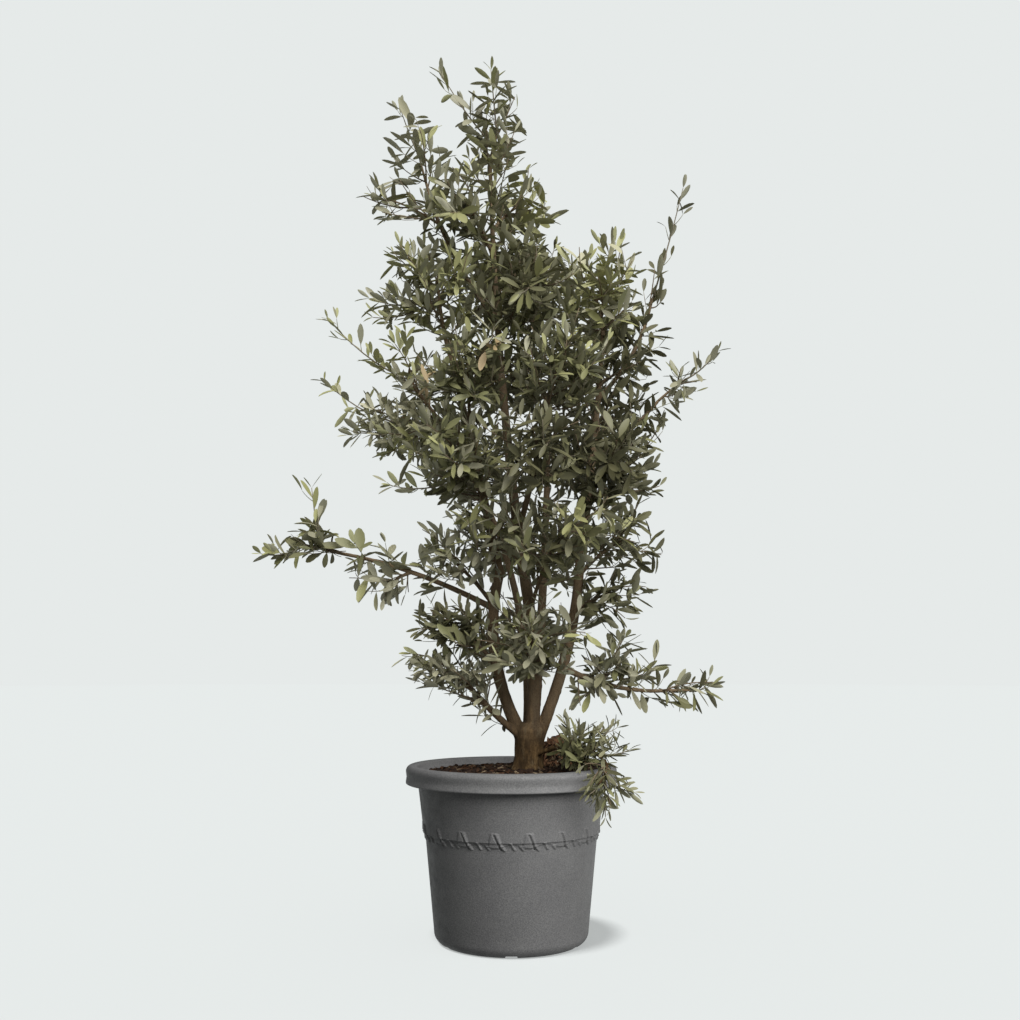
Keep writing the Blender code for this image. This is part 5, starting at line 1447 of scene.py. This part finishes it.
def leaf_quads():
    """Quads between stations: corner numbers 1 + 4 k + (edge, midrib, other edge, under)."""
    k = 1 + 4 * np.arange(SPANS)[:, None]
    a, m, b, u = k, k + 1, k + 2, k + 3
    upper = np.concatenate([np.hstack([m, a, a + 4, m + 4]), np.hstack([b, m, m + 4, b + 4])])
    lower = np.concatenate([np.hstack([a, u, u + 4, a + 4]), np.hstack([u, b, b + 4, u + 4])])
    return upper, lower


def leaf_points(roots, ways, ups, length, width, fold, bend):
    """Corners (N, 22, 3): root, then at each station edge, midrib, edge and under, and tip.

    The middle line is root + way x + up bend x squared, in leaf lengths.
    """
    across = np.cross(ways, ups)
    x = LEAF_STATIONS[None, :, None]
    size = length[:, None, None]
    middle = (roots[:, None] + size * x * ways[:, None]
              + size * bend[:, None, None] * x ** 2 * ups[:, None])
    half = 0.5 * width[:, None, None] * size * LEAF_OUTLINE[None, :, None]
    lift = fold[:, None, None] * half * ups[:, None]
    left = middle + half * across[:, None] + lift
    right = middle - half * across[:, None] + lift
    under = middle - LEAF_BODY * ups[:, None]
    tip = roots + length[:, None] * (ways + bend[:, None] * ups)
    stations = np.stack([left, middle, right, under], axis=2).reshape(len(roots), -1, 3)
    return np.concatenate([roots[:, None], stations, tip[:, None]], axis=1)


QUADS_UPPER, QUADS_LOWER = leaf_quads()
LAST = 1 + 4 * SPANS              # the last station's first corner
TIP = LEAF_CORNERS - 1
TIP_UPPER = np.array([(LAST + 1, LAST, TIP), (LAST + 2, LAST + 1, TIP)])
TIP_LOWER = np.array([(LAST, LAST + 3, TIP), (LAST + 3, LAST + 2, TIP)])
print("triangles in a leaf:", 2 * (len(LEAF_UPPER) + 2 * len(QUADS_UPPER) + len(TIP_UPPER)))

# %% [markdown]
# ## Setting the leaves
# Leaves stand in opposite pairs, wide of the twig at its foot and closing in at its tip,
# where the smallest leaves are. The upper face turns to the light: up, and towards the
# twig's own tip. A leaf is left out where its tip would lie outside its space, or where its
# tip or middle would lie in wood or pot, and so is one leaf in twenty by chance.

# %% Where the leaves stand
PAIR_STEP = np.array([0.0262, 0.0290, 0.0186, 0.0180])       # metres between pairs, by kind
FIRST_PAIR = np.array([0.30, 0.16, 0.14, 0.16])              # part of the way, by kind
DEEPEST = 0.445                   # as far back as a leaf's tip may reach
BARE_SHOOTS = {                   # where the first pair stands on a long shoot
    "left_lower_mid": 0.58, "low_front_left": 0.55, "left_mid": 0.10,
    "left_arm_tip": 0.12, "right_arm_tip": 0.15,
}
LEAF_LENGTH = 0.068
LEAF_SEED = 77
size_of = LEAF_SIZES[owners]
bare = np.array([BARE_SHOOTS.get(name, FIRST_PAIR[KINDS["shoot"]]) for name in NAMES])[owners]
first_pair = np.where(kinds == KINDS["shoot"], bare, FIRST_PAIR[kinds])
rng = np.random.default_rng(LEAF_SEED)
pairs = (1.0 - first_pair) * lengths / (PAIR_STEP[kinds] * size_of * AIRY[owners])
pairs = np.clip(np.round(pairs), 2, 30).astype(int) + 1
axis_of = np.repeat(np.arange(len(kinds)), pairs)
order = np.arange(len(axis_of)) - np.repeat(np.cumsum(pairs) - pairs, pairs)
part = order / (pairs[axis_of] - 1.0)
place = first_pair[axis_of] + (1.0 - first_pair[axis_of]) * part
axis_turn = rng.uniform(0.0, 2.0 * math.pi, len(kinds))
spoke_turn = axis_turn[axis_of] + 0.5 * math.pi * order + rng.normal(0.0, 0.25, len(order))


def set_leaves():
    """Roots, directions, faces and sizes of all the leaves, two to each place.

    A leaf stands 64 degrees off its twig at the foot, and 28 at the tip. Its upper face
    turns to the light as far as its own direction lets it.
    """
    line = (starts[axis_of], ends[axis_of], bows[axis_of])
    root, way = bowed(*line, place[:, None]), bowed_way(*line, place[:, None])
    aside = unit(np.cross(way, SKEW))
    other = np.cross(way, aside)
    root, way, aside, other = (np.repeat(v, 2, axis=0) for v in (root, way, aside, other))
    turn = np.repeat(spoke_turn, 2) + math.pi * (np.arange(len(root)) % 2)
    turn += rng.normal(0.0, 0.22, len(turn))
    spoke = np.cos(turn)[:, None] * aside + np.sin(turn)[:, None] * other
    age = np.repeat(part, 2)
    lean = np.radians(64.0 - 36.0 * age ** 2.2 + rng.normal(0.0, 13.0, len(age)))[:, None]
    out = np.cos(lean) * way + np.sin(lean) * spoke + rng.normal(0, 0.10, way.shape)
    out = unit(out - (1.0 - age[:, None]) * rng.uniform(0.0, 0.5, (len(age), 1))
               * np.array([0.0, 0.0, 1.0]))
    light = 0.9 * way + np.array([0.0, 0.0, 0.8]) + rng.normal(0.0, 0.45, way.shape)
    up = unit(light - (light * out).sum(axis=1, keepdims=True) * out)
    grown_up = np.interp(age, (0.0, 0.45, 0.8, 1.0), (0.90, 1.05, 0.92, 0.60))
    length = LEAF_LENGTH * np.repeat(size_of[axis_of], 2) * grown_up
    length *= rng.normal(1.0, 0.15, len(age)).clip(0.62, 1.35)
    return root, out, up, length, age


leaf_root, leaf_way, leaf_up, leaf_long, leaf_age = set_leaves()
leaf_axis = np.repeat(axis_of, 2)
leaf_owner = owners[leaf_axis]
print("leaves tried:", len(leaf_root))


# %% Keep the leaves that have room
def roomy(owner):
    """Which leaves of one mass keep to its space and stay clear of wood and pot."""
    mine = np.flatnonzero(leaf_owner == owner)
    reach = leaf_long[mine, None] * leaf_way[mine]
    tips, middles = leaf_root[mine] + reach, leaf_root[mine] + 0.5 * reach
    good = clear_of_pot(tips, 0.003) & clear_of_pot(middles, 0.003)
    edge = spray_edges[leaf_axis[mine]]
    for least in (SHOOT_EDGE, *EDGES):
        same = edge == least
        good[same] &= owns(owner, tips[same], least)
    good &= (tips[:, 1] < DEEPEST) & (rng.uniform(size=len(mine)) > 0.05)
    nobody = np.zeros(len(wood.owners), bool)
    for points in (tips, middles):
        good[good] = wood.room(points[good], nobody) > 0.002
    return mine[good]


kept = np.concatenate([roomy(owner) for owner in range(len(NAMES))])
leaf_width = rng.uniform(0.22, 0.31, len(leaf_root))
leaf_fold = rng.uniform(0.10, 0.45, len(leaf_root))
leaf_width *= BREADTHS[leaf_owner]
leaf_bend = rng.normal(-0.04, 0.09, len(leaf_root)).clip(-0.28, 0.16)
print("leaves kept:", len(kept))

# %% [markdown]
# ## Leaf colours
# A leaf's colour is its age and its spray's: dark green inside the crown and paler,
# grey-green and silver further out, which is painted shade inside and painted light outside,
# yellow-green at the tips of this year's shoots, and a few tan ones that are about to fall.
# Each mass also gets lighter or darker colours as painted light or shade. So each twig with
# its leaves draws one plain colour, and the lower faces have the silver felt that gives an
# olive its grey look from below.

# %% Colours for upper and lower faces
UPPER_TONES = {                   # the colour above, and the felt that goes with it
    "leaf_deep": ((0.119, 0.113, 0.055), "felt_dark"),
    "leaf_shade": ((0.170, 0.165, 0.081), "felt_dark"),
    "leaf_green": ((0.212, 0.211, 0.097), "felt_grey"),
    "leaf_grey": ((0.260, 0.250, 0.148), "felt_grey"),
    "leaf_olive": ((0.288, 0.283, 0.124), "felt_silver"),
    "leaf_young": ((0.355, 0.352, 0.156), "felt_young"),
    "leaf_tan": ((0.420, 0.310, 0.165), "felt_tan"),
    "leaf_silver": ((0.316, 0.303, 0.204), "felt_silver"),
    # The pale colour is painted light, dealt to the highest-scoring sprays.
    "leaf_pale": ((0.460, 0.440, 0.290), "felt_silver"),
}
LOWER_TONES = {
    "felt_dark": (0.228, 0.220, 0.137),
    "felt_grey": (0.345, 0.336, 0.222),
    "felt_silver": (0.430, 0.420, 0.300),
    "felt_young": (0.440, 0.440, 0.240),
    "felt_tan": (0.440, 0.340, 0.200),
}
SHADE, GREY, OLIVE, YOUNG, TAN, SILVER, PAINTED_PALE = (
    list(UPPER_TONES).index("leaf_" + tone)
    for tone in ("shade", "grey", "olive", "young", "tan", "silver", "pale"))
LEAF_FINISHES = [plain(name, colour, 0.50, 0.35) for name, (colour, _) in UPPER_TONES.items()]
LEAF_FINISHES += [plain(name, colour, 0.80, 0.20) for name, colour in LOWER_TONES.items()]
FELT_OF = len(UPPER_TONES) + np.array([list(LOWER_TONES).index(felt)
                                       for _, felt in UPPER_TONES.values()])
SILVERY = mass_numbers(["right_arm_tuft", "spire"])
SPILLING = mass_numbers(["spill_foot", "spill_tip"])
GREYER = mass_numbers(["crown_top", "upper_left_tuft", "left_tuft", "left_arm_mid",
                       "right_arm_mid", "right_arm_tip"])
SHEDDING = mass_numbers(["left_lower_mid"])
# The middle and reach of the crown, for the painted shade inside it and the painted light outside.
CROWN_MIDDLE = np.array([0.05, 0.0, 1.45])
CROWN_RADII = np.array([0.50, 0.42, 1.05])


def deal_colours():
    """One upper colour for each axis: a seeded draw, paler the further out it is, as painted
    light.

    Low in the crown olive green gives way to grey and silver. Each mass steps its colours
    lighter or darker as painted light or shade, some masses have their own cast, the
    lightest twigs get the pale colour as painted light, and a few are tan and about to fall.
    """
    away = np.linalg.norm((ends - CENTRES[owners]) / RADII[owners], axis=1)
    # Painted shade and light: sprays near the crown's middle and their mass's middle score low and
    # get dark colours, those further out pale ones, and each mass's steps add more.
    painted_light_outward = np.linalg.norm((ends - CROWN_MIDDLE) / CROWN_RADII, axis=1)
    score = 0.9 * painted_light_outward + 0.5 * away + 0.45 * PAINTED_LIGHT_STEPS[owners]
    score += rng.normal(0.0, 0.45, len(kinds))
    tone = np.digitize(score, (0.55, 0.95, 1.35, 1.75, 2.25))
    tone[(kinds == KINDS["shoot"]) & (rng.uniform(size=len(kinds)) < 0.5)] = YOUNG
    low = rng.uniform(size=len(kinds)) < np.interp(ends[:, 2], (0.6, 1.1, 1.9), (0.9, 0.7, 0.1))
    tone[(tone == GREY) & ~low] = OLIVE
    tone[(tone == OLIVE) & low] = GREY
    tone[(tone >= GREY) & low & (rng.uniform(size=len(kinds)) < 0.55)] = SILVER
    tone[(tone >= GREY) & np.isin(owners, SILVERY)] = SILVER
    tone[(tone >= GREY) & np.isin(owners, SPILLING)] = GREY
    greyer = np.isin(owners, GREYER) & (rng.uniform(size=len(kinds)) < 0.6)
    tone[greyer & np.isin(tone, (OLIVE, YOUNG))] = SILVER
    # Painted light: the highest scores get the pale colour.
    tone[(score > 2.9) & (rng.uniform(size=len(kinds)) < 0.70)] = PAINTED_PALE
    falling = np.where(np.isin(owners, SHEDDING), 0.045, 0.002)
    tone[rng.uniform(size=len(kinds)) < falling] = TAN
    return tone


axis_tone = deal_colours()
leaf_tone = axis_tone[leaf_axis]
fresh = (leaf_age > 0.85) & (leaf_tone > SHADE) & (rng.uniform(size=len(leaf_age)) < 0.25)
fresh &= ~np.isin(leaf_owner, SILVERY + SPILLING + GREYER)
leaf_tone = np.where(fresh, YOUNG, leaf_tone)
print("leaves of each colour:",
      dict(zip(UPPER_TONES, np.bincount(leaf_tone[kept], minlength=len(UPPER_TONES)).tolist())))


# %% Join the leaves into pieces
def leaf_faces(count):
    """Triangles and quads of many leaves: of each leaf the upper ones, then the lower."""
    shift = LEAF_CORNERS * np.arange(count)[:, None, None]
    triangles = np.concatenate([LEAF_UPPER, TIP_UPPER, LEAF_LOWER, TIP_LOWER])
    quads = np.concatenate([QUADS_UPPER, QUADS_LOWER])
    return (triangles[None] + shift).reshape(-1, 3), (quads[None] + shift).reshape(-1, 4)


def mark_outlines(piece):
    """Make each leaf's outline a sharp edge, so that its two faces shade apart."""
    edges = np.empty(len(piece.data.edges) * 2, np.int32)
    piece.data.edges.foreach_get("vertices", edges)
    spot = edges.reshape(-1, 2) % LEAF_CORNERS
    station, end = (spot - 1) % 4, (spot == 0) | (spot == TIP)
    outline = (end | (station == 0) | (station == 2)).all(axis=1)
    same_side = (station[:, 0] == station[:, 1]) | end.any(axis=1)
    sharp = piece.data.attributes.new("sharp_edge", "BOOLEAN", "EDGE")
    sharp.data.foreach_set("value", outline & same_side)


def build_leaves(name, members):
    """All leaves of some masses as one piece, which replaces the masses' solids."""
    chosen = kept[np.isin(leaf_owner[kept], mass_numbers(members))]
    points = leaf_points(leaf_root[chosen], leaf_way[chosen], leaf_up[chosen],
                         leaf_long[chosen], leaf_width[chosen], leaf_fold[chosen],
                         leaf_bend[chosen])
    triangles, quads = leaf_faces(len(chosen))
    upper = leaf_tone[chosen]
    lower = FELT_OF[upper]
    tris = np.stack([upper] * 4 + [lower] * 4, axis=1).ravel()
    fours = np.stack([upper] * (2 * SPANS) + [lower] * (2 * SPANS), axis=1).ravel()
    piece = new_piece(name, points.reshape(-1, 3), [triangles, quads], LEAF_FINISHES,
                      choice=np.concatenate([tris, fours]), nodes=members)
    mark_outlines(piece)


REGIONS = {
    "leaves_top": ["crown_top", "upper_left_tuft", "left_tuft", "upper_front", "upper_right",
                   "left_shoulder", "spire", "right_shoulder"],
    "leaves_front": ["mid_upper_front", "front_left", "front_right", "low_front_left",
                     "low_front_middle", "low_front_right", "skirt_front"],
    "leaves_back": ["mid_upper_back", "back_upper", "back_left", "back_right", "skirt_back",
                    "low_back"],
    "leaves_sides": ["left_mid", "left_lower_mid", "right_mid", "right_arm_tuft", "low_right",
                     "skirt_left", "skirt_right", "left_heart"],
    "leaves_low": ["left_arm_tip", "left_arm_mid", "low_left", "base_left", "low_front",
                   "low_right_heart", "right_arm_mid", "right_arm_tip", "spill_foot",
                   "spill_tip"],
}
assert sorted(sum(REGIONS.values(), [])) == sorted(NAMES)
for region, members in REGIONS.items():
    build_leaves(region, members)

# %% [markdown]
# ## Floor, light and camera
# The floor and the backdrop are one pale tone, with no line between them. A floor that only
# reflects would go grey with distance, so part of its brightness is its own, and the light
# on it comes from a sun lamp, which is equally strong everywhere. The backdrop is a ball
# that only the camera sees, and the dim world fills what the lamps leave dark.
#
# In a studio each part gets its own lamps, and light linking does that here. A front and a
# top light fall on the tree and the soil. The pot has three lamps. A broad one from the
# right models its round wall and is stopped by the pot alone. A second one comes from the
# same side and is stopped by everything, so that the spray in front of the wall shades it
# softly. The third catches the rim from above. The floor's lamp is stopped by the pot's
# filling alone, which leaves one short soft shadow beside the pot, free of leaf specks.

# %% The stage
PALE = (0.791, 0.823, 0.815)      # of floor, backdrop and world
WORLD_STRENGTH = 0.29
FLOOR_MATT = 0.36
FLOOR_GLOW = 0.504
FLOOR_SUN = 3.0
FLOOR_REACH = 39.0
BACKDROP_RADIUS = 40.0


def stage_piece(name, points, faces, glow_strength, matt=0.0):
    """A part of the studio, not of the object: it glows, and may be lit a little."""
    mesh = bpy.data.meshes.new(name)
    mesh.from_pydata(points, [], faces)
    piece = placed(name, mesh)
    material = bpy.data.materials.new(name)
    material.use_nodes = True
    tree = material.node_tree
    tree.nodes.remove(tree.nodes["Principled BSDF"])
    glow = tree.nodes.new("ShaderNodeEmission")
    glow.inputs["Color"].default_value = (*PALE, 1.0)
    glow.inputs["Strength"].default_value = glow_strength
    diffuse = tree.nodes.new("ShaderNodeBsdfDiffuse")
    diffuse.inputs["Color"].default_value = (*(matt * c / PALE[1] for c in PALE), 1.0)
    both = tree.nodes.new("ShaderNodeAddShader")
    tree.links.new(glow.outputs["Emission"], both.inputs[0])
    tree.links.new(diffuse.outputs["BSDF"], both.inputs[1])
    tree.links.new(both.outputs["Shader"], tree.nodes["Material Output"].inputs["Surface"])
    mesh.materials.append(material)
    return piece


def build_backdrop():
    """A ball of the pale tone around everything, seen by the camera alone."""
    rows, columns = 25, 48
    down, turn = np.linspace(0.0, math.pi, rows)[:, None], ring_angles(columns)
    ball = BACKDROP_RADIUS * np.stack([np.sin(down) * np.cos(turn), np.sin(down) * np.sin(turn),
                                       np.repeat(np.cos(down), columns, axis=1)], axis=-1)
    ball = stage_piece("studio_backdrop", ball.reshape(-1, 3).tolist(),
                       grid_faces(rows, columns).tolist(), 1.0)
    for sort in ("diffuse", "glossy", "transmission", "volume_scatter", "shadow"):
        setattr(ball, "visible_" + sort, False)
    return ball


floor = stage_piece("studio_floor",
                    [(x * FLOOR_REACH, y * FLOOR_REACH, 0)
                     for x, y in ((-1, -1), (1, -1), (1, 1), (-1, 1))],
                    [(0, 1, 2, 3)], FLOOR_GLOW, FLOOR_MATT)
floor.visible_diffuse = False
backdrop = build_backdrop()
print("studio: a floor", 2 * FLOOR_REACH, "m wide in a ball", 2 * BACKDROP_RADIUS, "m wide")


# %% Lights
def soft_sun(name, source, strength, angle, falls_on, stopped_by=None):
    """A sun lamp that shines from the direction of source, as broad as angle degrees.

    It lights the pieces of one collection, and is stopped by all pieces or by another's.
    """
    light = bpy.data.lights.new(name, "SUN")
    light.energy = strength
    light.angle = math.radians(angle)
    lamp = placed(name, light)
    lamp.rotation_euler = Vector(source).to_track_quat("Z", "Y").to_euler()
    lamp.light_linking.receiver_collection = falls_on
    if stopped_by is not None:
        lamp.light_linking.blocker_collection = stopped_by
    print(name, strength, "from", source)


def group(name, pieces):
    """A collection for light linking, beside the scene's own."""
    collection = bpy.data.collections.new(name)
    for piece in pieces:
        collection.objects.link(piece)
    return collection


the_tree = group("tree_and_soil", [piece for piece in bpy.context.scene.objects
                                   if piece.type == "MESH"
                                   and piece not in (pot, floor, backdrop)])
the_pot, the_floor = group("pot_alone", [pot]), group("floor_alone", [floor])
FROM_THE_RIGHT = (0.739, -0.821, 0.62)
soft_sun("front_light", (0.36, -1.0, 0.85), 2.7, 45.0, the_tree)
soft_sun("top_light", (0.10, -0.35, 1.0), 1.6, 40.0, the_tree)
soft_sun("pot_light", FROM_THE_RIGHT, 3.2, 36.0, the_pot, group("shades_the_pot", [pot]))
soft_sun("spray_light", FROM_THE_RIGHT, 2.4, 36.0, the_pot)
soft_sun("rim_light", (0.10, -0.50, 1.0), 2.6, 30.0, the_pot)
soft_sun("floor_light", (-0.115, -0.215, 1.0), FLOOR_SUN, 9.0, the_floor,
         group("shades_the_floor", [soil]))
world = bpy.data.worlds.new("pale_studio")
world.use_nodes = True
world.node_tree.nodes["Background"].inputs["Color"].default_value = (*PALE, 1.0)
world.node_tree.nodes["Background"].inputs["Strength"].default_value = WORLD_STRENGTH
bpy.context.scene.world = world
bpy.context.scene.view_settings.view_transform = "Standard"

# %% Camera
lens = bpy.data.cameras.new("camera")
lens.lens = 38.68                 # millimetres, on a film 36 mm wide
lens.sensor_fit = "HORIZONTAL"
lens.sensor_width = 36.0
lens.clip_end = 100.0
camera = placed("camera", lens)
camera.location = (-0.0037, -3.204, 0.765)
camera.rotation_euler = (math.radians(98.0), 0.0, 0.0)
bpy.context.scene.camera = camera
print("camera at", tuple(round(v, 3) for v in camera.location), "lens", lens.lens, "mm")
